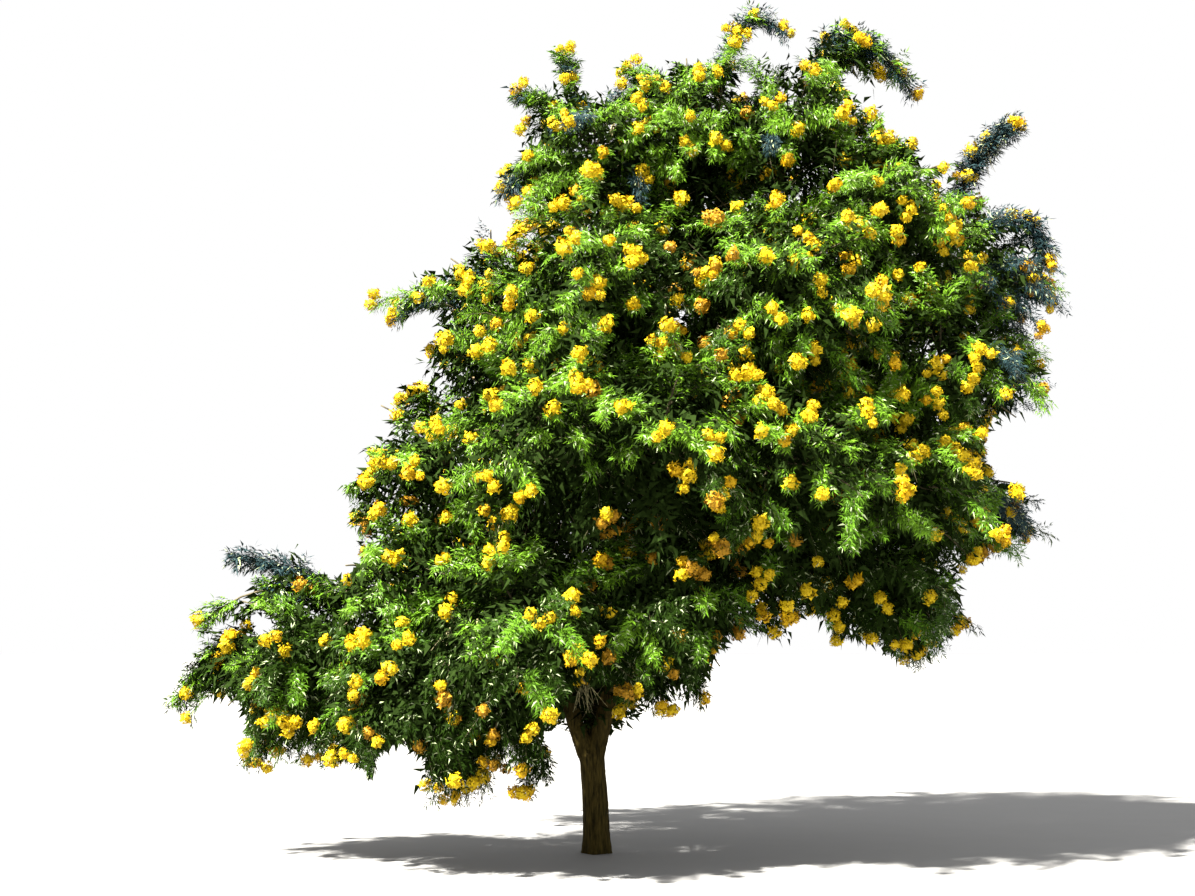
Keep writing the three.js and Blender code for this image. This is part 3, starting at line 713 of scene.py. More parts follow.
def grow_leaves(knots, hearts, starts, ends, spacing, size, kept, shade=False):
    """Pinnate leaves in opposite pairs on part of each bow, facing out of the spray and of the mass."""
    lengths = np.linalg.norm(knots[:, 2] - knots[:, 0], axis=1) * (ends - starts)
    counts = np.maximum(FEWEST_PAIRS, np.round(lengths / spacing).astype(int))
    owner = np.repeat(np.arange(len(knots)), counts)
    step = np.concatenate([np.arange(count) for count in counts])
    share = starts[owner] + (ends - starts)[owner] * step / (counts[owner] - 1)
    place = bow_points(knots[owner], share[:, None])[:, 0]
    ahead = bow_headings(knots[owner], share[:, None])[:, 0]
    across = unit(np.cross(ahead, UP) + SLIGHT)
    above = np.cross(across, ahead)
    twist = dice.uniform(0, math.pi, len(knots))[owner]
    turn = (twist + step * math.pi / 2 + dice.normal(0, LEAF_TURN_WANDER, len(owner)))[:, None]
    out = across * np.cos(turn) + above * np.sin(turn)
    place = np.concatenate([place, place])
    ahead = np.concatenate([ahead, ahead])
    out = np.concatenate([out, -out])
    share = np.concatenate([share, share])
    mass_out = unit(place - np.concatenate([hearts[owner], hearts[owner]]))
    facing = unit(out * FACE_SPRAY + mass_out * FACE_MASS + UP * FACE_UP)
    total = len(place)
    way = out * LEAF_OUT + ahead * LEAF_AHEAD - UP * LEAF_HANG
    way = unit(way + dice.normal(0, LEAF_WANDER, (total, 3)))
    grown = np.concatenate([size[owner], size[owner]]) * dice.uniform(*LEAF_SIZES, total)
    grown = grown * (LEAF_FULL - LEAF_SHRINK * share**2)
    leaf_ends = place + way * (LEAF_LENGTH * grown)[:, None]
    clear = kept(leaf_ends) & ~in_sky_gap(leaf_ends)
    return leaf_shapes(place[clear], way[clear], facing[clear], grown[clear], shade)


def leaf_shapes(place, way, face, size, shade):
    """Rachis and leaflets of every leaf, one triangle each; leaves in the shade are leaflets alone."""
    total = len(place)
    places, sides = (SHADE_PLACES, SHADE_SIDES) if shade else (LEAFLET_PLACES, LEAFLET_SIDES)
    width = SHADE_WIDTH if shade else 1
    side = unit(np.cross(face, way) + SLIGHT)
    rachis = LEAF_LENGTH * size
    foot = place[:, None] + way[:, None] * (rachis[:, None] * places)[:, :, None]
    kinds = len(places)
    along = (
        way[:, None] * LEAFLET_AHEAD
        + side[:, None] * (sides * LEAFLET_SPREAD)[None, :, None]
        - UP * LEAFLET_HANG
        + dice.normal(0, LEAFLET_WANDER, (total, kinds, 3))
    )
    along = unit(along)
    length = (LEAFLET_LENGTH * size)[:, None] * dice.uniform(*LEAFLET_LENGTHS, (total, kinds))
    breadth = length * width * LEAFLET_WIDTH / LEAFLET_LENGTH
    roll = dice.normal(0, LEAFLET_ROLL, (total, kinds))[..., None]
    wide = unit(np.cross(face[:, None], along))
    wide = wide * np.cos(roll) + np.cross(along, wide) * np.sin(roll)
    bulge = np.where(sides == 0, 1, sides)[None, :, None]
    length, breadth = length[..., None], breadth[..., None]
    middle = foot + along * length * LEAFLET_WIDEST + wide * breadth * bulge
    tip = foot + along * length - UP * length * LEAFLET_CURL
    leaflets = np.stack([foot, middle, tip], axis=2)
    if shade:
        return leaflets.reshape(-1, 3, 3)
    spine = np.stack(
        [place - side * RACHIS_HALF_WIDTH, place + side * RACHIS_HALF_WIDTH, place + way * rachis[:, None]],
        axis=1,
    )
    return np.concatenate([spine[:, None], leaflets], axis=1).reshape(-1, 3, 3)


def grow_flowers(centres, facings, sizes):
    """Trumpet flowers standing out of every round head, five petals to a mouth."""
    heads = len(centres)
    k = np.arange(FLOWERS_IN_HEAD)
    height = 1 - HEAD_ROUND * (k + 0.5) / FLOWERS_IN_HEAD
    breadth = np.sqrt(1 - height**2)
    turn = k * GOLDEN_ANGLE + dice.uniform(0, 2 * math.pi, heads)[:, None]
    first = unit(np.cross(facings, HEAD_ASIDE))
    second = np.cross(facings, first)
    way = (
        facings[:, None] * height[None, :, None]
        + first[:, None] * (breadth * np.cos(turn))[..., None]
        + second[:, None] * (breadth * np.sin(turn))[..., None]
        + dice.normal(0, FLOWER_WANDER, (heads, FLOWERS_IN_HEAD, 3))
    )
    way = unit(way).reshape(-1, 3)
    flowers = heads * FLOWERS_IN_HEAD
    size = np.repeat(sizes, FLOWERS_IN_HEAD) * dice.uniform(*FLOWER_SIZES, flowers)
    stalk = FLOWER_LENGTH * size * dice.uniform(*FLOWER_DEPTHS, flowers)
    foot = np.repeat(centres, FLOWERS_IN_HEAD, axis=0)
    one = unit(np.cross(way, dice.normal(0, 1, (flowers, 3))))
    two = np.cross(way, one)
    petal = np.arange(FLOWER_PETALS) * 2 * math.pi / FLOWER_PETALS
    turns = np.stack([petal - PETAL_HALF_ANGLE, petal + PETAL_HALF_ANGLE], axis=1).ravel()
    spoke = one[:, None] * np.cos(turns)[:, None] + two[:, None] * np.sin(turns)[:, None]
    throat = foot + way * stalk[:, None]
    spoke = spoke + way[:, None] * dice.normal(0, PETAL_TILT, (flowers, 2 * FLOWER_PETALS, 1))
    rim = (foot + way * (stalk * FLOWER_RIM)[:, None])[:, None] + spoke * (FLOWER_MOUTH * size)[:, None, None]
    points = np.concatenate([throat[:, None], rim], axis=1)
    faces = [(0, 1 + 2 * i, 2 + 2 * i) for i in range(FLOWER_PETALS)]
    return points.reshape(-1, 3), repeat_faces(faces, flowers, 1 + 2 * FLOWER_PETALS)


# Bark: ridges, their wander and flakes to the metre, from their sizes across the limb and along it

RIDGE = 1 / np.array([0.017, 0.017, 0.12])
WANDER = 1 / np.array([0.05, 0.05, 0.1])
FLAKE = 1 / np.array([0.007, 0.007, 0.03])
WANDER_REACH = np.array([1.6, 1.6, 0.4])
RIDGE_HEIGHT = 0.25
FISSURE_DEPTH = 0.8
FLAKE_HEIGHT = 0.5
BARK_DEPTH = 0.0055
STEM_RELIEF = 0.06
BOUGH_RELIEF = 0.07

# The fork: trunk and stems meet in one mesh, the middle stem a little back so that the fork shows
FORK_LENGTH = 0.8
FORK_OVERLAP = 0.06
FORK_SETBACK = np.array([0.0, 0.05, 0.0])
FORK_VOXEL = 0.0085
FORK_SMOOTHING = 8
FORK_EASE = 0.5
TRUNK_BURIED = 0.05
TRUNK_DOME = 0.84
TRUNK_DOME_FALL = 0.94
STEM_ROOT = 0.26
STEM_ROOT_TAPER = 0.3
BUTTRESSES = 4
BUTTRESS_DEPTH = 0.012
BUTTRESS_HEIGHT = 0.13
BUTTRESS_TURN = 0.7

# Half the length of the cylinder that every limb is drawn out from
CYLINDER_HALF = 0.5


def grain_noise(points):
    """Smooth noise from 0 to 1, one bump to a unit."""
    cell = np.floor(points)
    part = points - cell
    ease = part * part * (3 - 2 * part)
    total = np.zeros(len(points))
    for corner in np.ndindex(2, 2, 2):
        lattice = cell + corner
        value = np.sin(lattice @ SCATTER) * SCATTER_SCALE
        weight = np.prod(np.where(np.array(corner) == 1, ease, 1 - ease), axis=1)
        total += (value - np.floor(value)) * weight
    return total


def bark_relief(places):
    """Height of the bark, from places across the limb and along it: long ridges, fissures between."""
    wander = grain_noise(places * WANDER)[:, None] * WANDER_REACH
    fissure = 1 - np.abs(2 * grain_noise(places * RIDGE + wander) - 1)
    flakes = grain_noise(places * FLAKE) - 0.5
    return RIDGE_HEIGHT - FISSURE_DEPTH * fissure**3 + FLAKE_HEIGHT * flakes


def select_only(*pieces):
    """Selects these pieces and no others, with the first of them active."""
    bpy.ops.object.select_all(action="DESELECT")
    for piece in pieces:
        piece.select_set(True)
    if pieces:
        bpy.context.view_layer.objects.active = pieces[0]


def mesh_points(piece):
    points = np.empty(len(piece.data.vertices) * 3)
    piece.data.vertices.foreach_get("co", points)
    return points.reshape(-1, 3)


def set_mesh_points(piece, points):
    piece.data.vertices.foreach_set("co", points.ravel())
    piece.data.update()


def edit_mesh(selection, step=None, **settings):
    """A step in edit mode, on all of the mesh, on none of it or on what is selected."""
    bpy.ops.object.mode_set(mode="EDIT")
    if selection:
        bpy.ops.mesh.select_all(action=selection)
    if step:
        step(**settings)
    bpy.ops.object.mode_set(mode="OBJECT")


def limb_tube(name, bow, radius_at, sides, rings, start=0.0, end=1.0, relief=0.0):
    """A cylinder cut into rings and drawn out along a limb, with bark relief as a share of its radius."""
    select_only()
    bpy.ops.mesh.primitive_cylinder_add(vertices=sides, radius=1, depth=2 * CYLINDER_HALF)
    tube = bpy.context.object
    tube.name = tube.data.name = name
    bpy.context.tool_settings.mesh_select_mode = (False, True, False)
    edit_mesh("DESELECT")
    points = mesh_points(tube)
    for edge in tube.data.edges:
        low, high = edge.vertices
        edge.select = bool(abs(points[low, 2] - points[high, 2]) > CYLINDER_HALF)
    edit_mesh(None, bpy.ops.mesh.subdivide, number_cuts=rings)
    points = mesh_points(tube)
    share = start + (end - start) * (points[:, 2] + CYLINDER_HALF)
    on_bow = np.clip(share, 0, 1)
    ahead = bow.heading(on_bow)
    flat = unit(np.cross(bow.knots[1] - bow.knots[0], bow.knots[2] - bow.knots[0]) + TINY)
    level = np.cross(ahead, flat)
    radius = radius_at(share)
    if relief:
        local = np.stack([points[:, 0] * radius, points[:, 1] * radius, share * bow.length], axis=1)
        radius = radius * (1 + relief * bark_relief(local))
    centre = bow.at(on_bow) + ahead * ((share - on_bow) * bow.length)[:, None]
    spoke = level * points[:, :1] + flat * points[:, 1:2]
    set_mesh_points(tube, centre + spoke * radius[:, None])
    edit_mesh("SELECT", bpy.ops.mesh.normals_make_consistent, inside=False)
    return tube


def join_pieces(name, pieces):
    """One piece out of several."""
    select_only(*pieces)
    bpy.ops.object.join()
    pieces[0].name = pieces[0].data.name = name
    return pieces[0]


def apply_modifier(piece, kind, **settings):
    select_only(piece)
    modifier = piece.modifiers.new(kind, kind)
    for key, value in settings.items():
        setattr(modifier, key, value)
    bpy.ops.object.modifier_apply(modifier=modifier.name)


def trunk_and_stems(limbs):
    """Trunk and fork grown into each other and cut flat at the ground, with the stems that go on up."""

    def domed(share):
        crest = np.clip((share - TRUNK_DOME) / (1 - TRUNK_DOME), 0, 1)
        return trunk_radius(np.maximum(share, 0)) * np.sqrt(1 - TRUNK_DOME_FALL * crest**2)

    bow = Bow((0, 0, 0), (0, 0, TRUNK_HEIGHT / 2), (TRUNK_LEAN, 0, TRUNK_HEIGHT))
    parts = [limb_tube("trunk_bark", bow, domed, sides=40, rings=60, start=-TRUNK_BURIED / bow.length)]
    stems = {name: limbs[name][0] for name in STEMS}
    foot, bend, tip = stems["middle_stem"].knots
    stems["middle_stem"] = Bow(foot + FORK_SETBACK, bend, tip)
    for name, stem in stems.items():
        root = STEM_ROOT / stem.length

        def rooted_radius(share, base=STEMS[name][3], root=root):
            plain = base + (STEM_TIP_RADIUS - base) * np.maximum(share, 0)
            return plain * (1 - STEM_ROOT_TAPER * np.maximum(0, -share / root))

        end = FORK_LENGTH / stem.length
        part = limb_tube(name + "_foot", stem, rooted_radius, sides=28, rings=50, start=-root, end=end)
        parts.append(part)
    fork = join_pieces("trunk_bark", parts)
    apply_modifier(fork, "REMESH", mode="VOXEL", voxel_size=FORK_VOXEL)
    apply_modifier(fork, "SMOOTH", factor=FORK_EASE, iterations=FORK_SMOOTHING)
    points = mesh_points(fork)
    normals = np.empty(len(points) * 3)
    fork.data.vertices.foreach_get("normal", normals)
    turn = np.arctan2(points[:, 1], points[:, 0])
    buttress = BUTTRESS_DEPTH * np.exp(-np.maximum(points[:, 2], 0) / BUTTRESS_HEIGHT)
    buttress *= np.cos(BUTTRESSES * turn + BUTTRESS_TURN)
    height = BARK_DEPTH * bark_relief(points) + buttress
    set_mesh_points(fork, points + normals.reshape(-1, 3) * height[:, None])
    ground = {"plane_co": (0, 0, 0), "plane_no": (0, 0, 1)}
    edit_mesh("SELECT", bpy.ops.mesh.bisect, clear_inner=True, use_fill=True, **ground)
    parts = [fork]
    for name, stem in stems.items():
        radius_at = limbs[name][1]
        start = (FORK_LENGTH - FORK_OVERLAP) / stem.length
        part = limb_tube(
            name + "_upper", stem, radius_at, sides=24, rings=90, start=start, relief=STEM_RELIEF
        )
        parts.append(part)
    return join_pieces("trunk_bark", parts)


# Finishes

GRAIN_DETAIL = 5
GRAIN_ROUGHNESS = 0.6
TONE_SPAN = (0.32, 0.68)
EVEN = (1, 1, 1)
LEAF_GLOSS = 0.07


def finish(name, dark, light, scale, stretch, rough, bump, depth, gloss=0.25):
    """A material whose tone drifts between two colours, with roughness and relief from the same grain."""
    material = bpy.data.materials.new(name)
    material.use_nodes = True
    nodes, links = material.node_tree.nodes, material.node_tree.links
    shader = nodes["Principled BSDF"]
    shader.inputs["Specular IOR Level"].default_value = gloss

    def added(kind, **values):
        node = nodes.new(kind)
        for socket, value in values.items():
            node.inputs[socket.replace("_", " ")].default_value = value
        return node

    place = added("ShaderNodeTexCoord")
    mapping = added("ShaderNodeMapping", Scale=stretch)
    grain = added("ShaderNodeTexNoise", Scale=scale, Detail=GRAIN_DETAIL, Roughness=GRAIN_ROUGHNESS)
    tone = added("ShaderNodeValToRGB")
    for element, position, colour in zip(tone.color_ramp.elements, TONE_SPAN, (dark, light)):
        element.position = position
        element.color = (*colour, 1)
    sheen = added("ShaderNodeMapRange", To_Min=rough[0], To_Max=rough[1])
    relief = added("ShaderNodeBump", Strength=bump, Distance=depth)
    for source, result, target, socket in (
        (place, "Object", mapping, "Vector"),
        (mapping, "Vector", grain, "Vector"),
        (grain, "Fac", tone, "Fac"),
        (tone, "Color", shader, "Base Color"),
        (grain, "Fac", sheen, "Value"),
        (sheen, "Result", shader, "Roughness"),
        (grain, "Fac", relief, "Height"),
        (relief, "Normal", shader, "Normal"),
    ):
        links.new(source.outputs[result], target.inputs[socket])
    return material


def leaf_finish(name, dark, light, gloss=LEAF_GLOSS):
    return finish(
        name, dark, light, scale=45, stretch=EVEN, rough=(0.3, 0.46), bump=0.2, depth=0.001, gloss=gloss
    )


def petal_finish(name, dark, light):
    return finish(
        name, dark, light, scale=80, stretch=EVEN, rough=(0.45, 0.6), bump=0.2, depth=0.001, gloss=0.12
    )


bark = finish(
    "bark", (0.009, 0.007, 0.002), (0.062, 0.046, 0.0115),
    scale=60, stretch=(1, 1, 0.16), rough=(0.8, 0.95), bump=0.6, depth=0.004, gloss=0.05,
)
twig_bark = finish(
    "twig_bark", (0.05, 0.042, 0.02), (0.13, 0.11, 0.06),
    scale=50, stretch=EVEN, rough=(0.7, 0.9), bump=0.3, depth=0.001,
)
# Copies of one leaf green, as painted light: sunny and mid are painted sunlight, deep and dark painted shade
LEAF_TINTS = {
    "leaves_painted_sunlight": leaf_finish("leaf_painted_sunlight", (0.066, 0.154, 0.007), (0.098, 0.198, 0.013)),
    "leaves_mid": leaf_finish("leaf_mid", (0.051, 0.13, 0.006), (0.082, 0.176, 0.012)),
    "leaves_painted_shade": leaf_finish("leaf_painted_shade", (0.017, 0.045, 0.004), (0.033, 0.072, 0.006)),
    "leaves_painted_deep_shade": leaf_finish("leaf_painted_deep_shade", (0.006, 0.0145, 0.002), (0.0125, 0.027, 0.003), 0.01),
    # Painted bluish skylight on leaves in shade
    "leaves_painted_skylight": leaf_finish("leaf_painted_skylight", (0.011, 0.026, 0.029), (0.024, 0.048, 0.052)),
    # Pale leaflets as painted glints
    "leaves_glint": leaf_finish("leaf_glint", (0.24, 0.3, 0.15), (0.36, 0.41, 0.24)),
    # Painted shade for the broad inner leaves
    "leaves_shade": leaf_finish("leaf_shade", (0.0095, 0.019, 0.0038), (0.0175, 0.0305, 0.0068), 0.0),
}
FLOWER_TINTS = {
    "flowers_yellow": petal_finish("petal_yellow", (0.51, 0.35, 0.006), (0.6, 0.43, 0.009)),
    # Golden petals: older flowers, and painted shade on the side turned from the sun
    "flowers_golden": petal_finish("petal_golden", (0.46, 0.27, 0.004), (0.56, 0.35, 0.006)),
    # Browner petals: the painted shade of heads in the crown's shade
    "flowers_painted_shade": petal_finish("petal_painted_shade", (0.25, 0.125, 0.006), (0.37, 0.2, 0.01)),
}
pod_skin = finish(
    "pod_skin", (0.24, 0.22, 0.1), (0.42, 0.38, 0.2),
    scale=40, stretch=(1, 1, 0.2), rough=(0.5, 0.7), bump=0.2, depth=0.001,
)
floor_paint = finish(
    "floor_paint", (0.22, 0.22, 0.22), (0.23, 0.23, 0.23),
    scale=3, stretch=EVEN, rough=(0.85, 0.95), bump=0.05, depth=0.001,
)


def rooted(piece, slot_name, *nodes):
    """Attach a piece to the root body, so that it stays in the ground, and hide the solids it stands for."""
    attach(piece, "root")
    if nodes:
        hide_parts(*nodes)


# The wood

limbs, carriers = grow_limbs()
trunk = trunk_and_stems(limbs)
bough_limbs = {name: limb for name, limb in limbs.items() if name not in STEMS}
boughs = [
    limb_tube(name, bow, radius_at, sides=12, rings=28, relief=BOUGH_RELIEF)
    for name, (bow, radius_at) in bough_limbs.items()
]
boughs = join_pieces("bough_bark", boughs)
for piece in (trunk, boughs):
    piece.data.materials.clear()
    piece.data.materials.append(bark)
    select_only(piece)
    bpy.ops.object.shade_smooth()
rooted(trunk, "bark", "trunk", *STEMS)
rooted(boughs, "bark", *bough_limbs)

# Twigs and shoots

mass_stems, twigs = grow_twigs(limbs, carriers)
bowed = bowed_plumes()
twigs = without_bowed(twigs, bowed) + bowed + grow_hem_twigs(mass_stems)
shoots, owners, plumed = grow_shoots(twigs)
inner_twigs = grow_inner_twigs(limbs)
stem_knots = np.array([stem.knots for stem in mass_stems])
twig_knots = np.array([twig[0].knots for twig in twigs])
thin_twigs = np.concatenate([shoots, inner_twigs])
runs = [
    slender_tubes(stem_knots, BOUGH_TIP_RADIUS, MASS_STEM_TIP_RADIUS, sides=8, rings=14),
    slender_tubes(twig_knots, TWIG_BASE_RADIUS, TWIG_TIP_RADIUS, sides=4, rings=8),
    slender_tubes(thin_twigs, SHOOT_BASE_RADIUS, SHOOT_TIP_RADIUS, sides=3, rings=3),
]
points, faces, corners = [], [], 0
for run_points, run_faces in runs:
    points.append(run_points)
    faces.append(run_faces + corners)
    corners += len(run_points)
twig_piece = joined_mesh("twigs", np.concatenate(points), np.concatenate(faces), twig_bark)
foliage_nodes = [f"{mass}_foliage" for mass in MASSES]
rooted(twig_piece, "bark", *foliage_nodes)

# Leaf tints dealt out by shoot, all painted light: sunny on the lit side, deep and dark as painted shade
# inside and below, cool as painted bluish skylight on plumes

SUN_WAY = unit([-0.62, -0.54, 0.92])
TINT_NAMES = ["leaves_painted_deep_shade", "leaves_painted_shade", "leaves_mid", "leaves_painted_sunlight", "leaves_painted_skylight"]
TINT_STEPS = (-0.62, -0.25, 0.03)
TINT_WANDER = 0.15
CROWN_LIT_SHARE = 0.25
MOUND_LIT_SHARE = 0.45
MARGIN_SHARE = 0.6
MARGIN_MOST = 0.4
# Painted shade: tints darker low in the crown, in the skirt and at the hem
LOW_CROWN = 2.3
LOW_DEPTH = 0.85
SKIRT_DEPTH = 0.95
SKIRT_FROM = -1.0
HEM_FROM = -2.0
HEM_TOP = 1.5
HEM_SHADE = 0.9
# Painted bluish skylight, as shade on plumes and on the right edge, the side turned from the sun
PLUME_COOL_CHANCES = {
    "skirt_tip": 1.0, "left_shoulder": 0.5, "top_left": 0.5, "top_middle": 0.6, "top_right": 0.35,
    "right_top": 0.95, "right_edge": 0.8,
}
COOL_LOWEST = 1.9
EDGE_COOL_CHANCE = 0.12
EDGE_COOL_LOWEST = 3.2
RIGHT_EDGE = 2.9
RIGHT_COOL_CHANCE = 0.85
# Chance that a head in a hollow or at the right edge takes the browner tint, as painted shade
PAINTED_SHADE_CHANCE = 0.5

# Hollows painted in shade in the crown's front, seen in the trunk's plane: across, height, half width, half
# height
SHADED_HOLLOWS = np.array([(0.42, 2.0, 0.9, 1.05), (0.8, 4.3, 0.4, 0.9), (-1.2, 0.95, 0.8, 0.5)])
HOLLOW_SHADE = 0.75
SHADE_SPREAD = (0.0, 1.7)
# Heads this deep in a hollow count as shaded and may take the browner painted-shade tint
HOLLOW_HEAD_SHADE = 0.35
HOLLOW_BACK = 0.5

twig_plumed = np.array([plume for _, _, plume in twigs])
twig_starts = np.where(twig_plumed, PLUME_LEAFY_FROM, TWIG_LEAFY_FROM)
axes = np.concatenate([twig_knots, shoots])
axis_starts = np.concatenate([twig_starts, np.full(len(shoots), SHOOT_LEAFY_FROM)])
axis_plumed = np.concatenate([twig_plumed, plumed])
axis_owners = np.concatenate([np.array([owner for _, owner, _ in twigs]), owners])
axis_hearts = HEARTS[axis_owners]
axis_tips = axes[:, 2]
margin = crown_margin(axis_tips)
outward = unit(axis_tips - axis_hearts)
mound_lit = outward @ SUN_WAY
crown_lit = unit(axis_tips - CROWN_MIDDLE) @ SUN_WAY
score = CROWN_LIT_SHARE * crown_lit + MOUND_LIT_SHARE * mound_lit
score += MARGIN_SHARE * np.clip(margin, -MARGIN_MOST, MARGIN_MOST)
score += dice.normal(0, TINT_WANDER, len(axes))
# Painted shade, darker low in the crown, at the hem and in the hollows, by a random share for each shoot
low_depth = np.where(axis_tips[:, 0] > SKIRT_FROM, LOW_DEPTH, SKIRT_DEPTH)
fall = low_depth * np.clip(LOW_CROWN - axis_tips[:, 2], 0, 1)
fall += HEM_SHADE * np.clip(HEM_TOP - axis_tips[:, 2], 0, 1) * (axis_tips[:, 0] > HEM_FROM)
from_hollows = (seen_in_plane(axis_tips)[:, None, ::2] - SHADED_HOLLOWS[:, :2]) / SHADED_HOLLOWS[:, 2:]
hollow = np.clip(1 - np.sum(from_hollows**2, axis=2), 0, 1).max(axis=1) * (axis_tips[:, 1] < HOLLOW_BACK)
fall += HOLLOW_SHADE * hollow
score -= fall * dice.uniform(*SHADE_SPREAD, len(axes))
tint = np.digitize(score, TINT_STEPS)
plume_cool = np.array([PLUME_COOL_CHANCES.get(name, 0) for name in MASSES])[axis_owners]
cool_chance = EDGE_COOL_CHANCE * (plume_cool > 0) * (axis_tips[:, 2] > EDGE_COOL_LOWEST)
cool_chance = np.where(axis_plumed & (axis_tips[:, 2] > COOL_LOWEST), plume_cool, cool_chance)
cool_chance = np.where((axis_tips[:, 0] > RIGHT_EDGE) & ~axis_plumed, RIGHT_COOL_CHANCE, cool_chance)
tint = np.where(dice.uniform(size=len(axes)) < cool_chance, TINT_NAMES.index("leaves_painted_skylight"), tint)

# Flower heads at the ends of shoots that show


def axes_of(masses):
    """Which twigs and shoots belong to the named masses."""
    return np.array([name in masses for name in MASSES])[axis_owners]


weeping_axes = axes_of(WEEPING_MASSES)
rich_axes = axes_of(RICH_MASSES)
head_chance = np.where(weeping_axes, WEEPING_HEAD_CHANCE, HEAD_CHANCE)
head_chance = np.where(rich_axes, RICH_HEAD_CHANCE, head_chance)
head_chance = np.where(axis_tips[:, 0] > RIGHT_EDGE, RIGHT_HEAD_CHANCE, head_chance)
head_chance = np.where(axis_plumed, PLUME_HEAD_CHANCE, head_chance)
head_chance = np.where(margin > HEAD_MARGIN, head_chance, PAINTED_SHADE_HEAD_CHANCE * (margin > PAINTED_SHADE_HEAD_MARGIN))
plume_ends = axis_plumed & (np.arange(len(axes)) < len(twigs))
flowering = plume_ends | (dice.uniform(size=len(axes)) < head_chance)
bare = np.linalg.norm(axis_tips - BARE_PLUME, axis=1) < BARE_REACH
flowering &= ~bare
head_stray = np.where(outward[:, 2] < HANGING, HANGING_STRAY, HEAD_STRAY)
flowering &= axis_plumed | (out_of_masses(axis_tips) < head_stray)
centres, facings, sizes, head_tints, taken = [], [], [], [], [np.zeros(3)]
order = dice.permutation(np.flatnonzero(flowering))
for end in order[np.argsort(~plume_ends[order], kind="stable")]:
    bend, tip = axes[end, 1:]
    apart = RICH_APART if rich_axes[end] else CLUSTERS_APART
    if np.linalg.norm(np.array(taken) - tip, axis=1).min() < apart:
        continue
    taken.append(tip)
    aim = unit(outward[end] + UP * HEAD_LIFT + unit(tip - bend) * HEAD_AHEAD)
    together = 1 + int(plume_ends[end]) + int(dice.choice(len(HEADS_TOGETHER), p=HEADS_TOGETHER))
    for extra in range(together):
        aside = unit(np.cross(aim, dice.normal(0, 1, 3))) * (HEADS_APART if extra else 0)
        centres.append(tip + aim * HEAD_OUT + aside)
        facings.append(unit(aim + dice.normal(0, HEAD_WANDER, 3)))
        sizes.append(dice.uniform(*HEAD_SIZES) * (SIDE_HEAD_SIZE if extra else 1))
        # Golden stands for older flowers, and more often on the side turned from the sun for painted shade
        golden_by_age_and_shade = dice.uniform() < (OLDER_SHARE if mound_lit[end] > 0 else SHADED_GOLDEN_SHARE)
        shaded = hollow[end] > HOLLOW_HEAD_SHADE or (tip[0] > RIGHT_EDGE and not axis_plumed[end])
        # Heads that are buried or in shaded places take the browner tint as painted shade
        in_painted_shade = margin[end] < HEAD_MARGIN or (shaded and dice.uniform() < PAINTED_SHADE_CHANCE)
        yellow_golden_tint = "flowers_golden" if golden_by_age_and_shade else "flowers_yellow"
        head_tints.append("flowers_painted_shade" if in_painted_shade else yellow_golden_tint)
clear = ~in_sky_gap(centres)
centres, facings = np.array(centres)[clear], np.array(facings)[clear]
sizes, head_tints = np.array(sizes)[clear], np.array(head_tints)[clear]
for name, petals in FLOWER_TINTS.items():
    chosen = head_tints == name
    flower_points, flower_faces = grow_flowers(centres[chosen], facings[chosen], sizes[chosen])
    rooted(joined_mesh(name, flower_points, flower_faces, petals), "foliage")

# Leaves, which keep clear of the heads

head_tree = KDTree(len(centres))
for index, centre in enumerate(centres):
    head_tree.insert(centre, index)
head_tree.balance()


def clear_of_heads(points):
    return np.array([head_tree.find(point)[2] > HEAD_CLEAR for point in points])


def outer_leaves(points):
    """All leaves near the surface and a share of the buried ones, none inside a flower head."""
    shown = out_of_masses(points) > BURIED_DEPTH
    shown |= dice.uniform(size=len(points)) < BURIED_SHARE
    return shown & clear_of_heads(points)


def leaves_within(depth):
    """A rule that keeps leaves less than this far outside the masses, or inside where it is negative."""
    return lambda points: out_of_masses(points) < depth


def inner_leaves(points):
    """Leaves inside the masses, and in the core of the crown."""
    return in_core(points) | (out_of_masses(points) < INNER_DEPTH)


def leaf_pieces(name, triangles, material):
    """Leaves as pieces that stay small enough."""
    cuts = np.linspace(0, len(triangles), math.ceil(len(triangles) / PIECE_TRIANGLES) + 1).astype(int)
    for number, (start, end) in enumerate(zip(cuts[:-1], cuts[1:])):
        part = triangles[start:end].reshape(-1, 3)
        piece = joined_mesh(f"{name}_{number + 1}", part, np.arange(len(part)).reshape(-1, 3), material)
        rooted(piece, "foliage")


# Fewer leaves on the painted-shade tints and on undersides, where more of the dark broad leaves show
spacing = np.where(mound_lit > UNDERSIDE, LEAF_SPACING, LEAF_SPACING * UNDERSIDE_SPACING)
spacing = np.where(tint <= TINT_NAMES.index("leaves_painted_shade"), spacing * DEEP_SPACING, spacing)
spacing = np.where(axis_plumed, PLUME_LEAF_SPACING, spacing)
leaf_size = np.where(axis_plumed, PLUME_LEAF_SIZE, 1)
leaf_size = np.where(bare & axis_plumed, SLENDER_LEAF_SIZE, leaf_size)
axis_ends = np.ones(len(axes))
glints = []
for index, name in enumerate(TINT_NAMES):
    chosen = tint == index
    leaflets = grow_leaves(
        axes[chosen], axis_hearts[chosen], axis_starts[chosen], axis_ends[chosen], spacing[chosen],
        leaf_size[chosen], outer_leaves,
    )
    # A share of the leaflets take the pale glint colour, as painted glints
    glinting = dice.uniform(size=len(leaflets)) < GLINT_SHARE
    glints.append(leaflets[glinting])
    leaf_pieces(name, leaflets[~glinting], LEAF_TINTS[name])
leaf_pieces("leaves_glint", np.concatenate(glints), LEAF_TINTS["leaves_glint"])

# Broad leaves in the shade, in a very dark colour that is painted shade

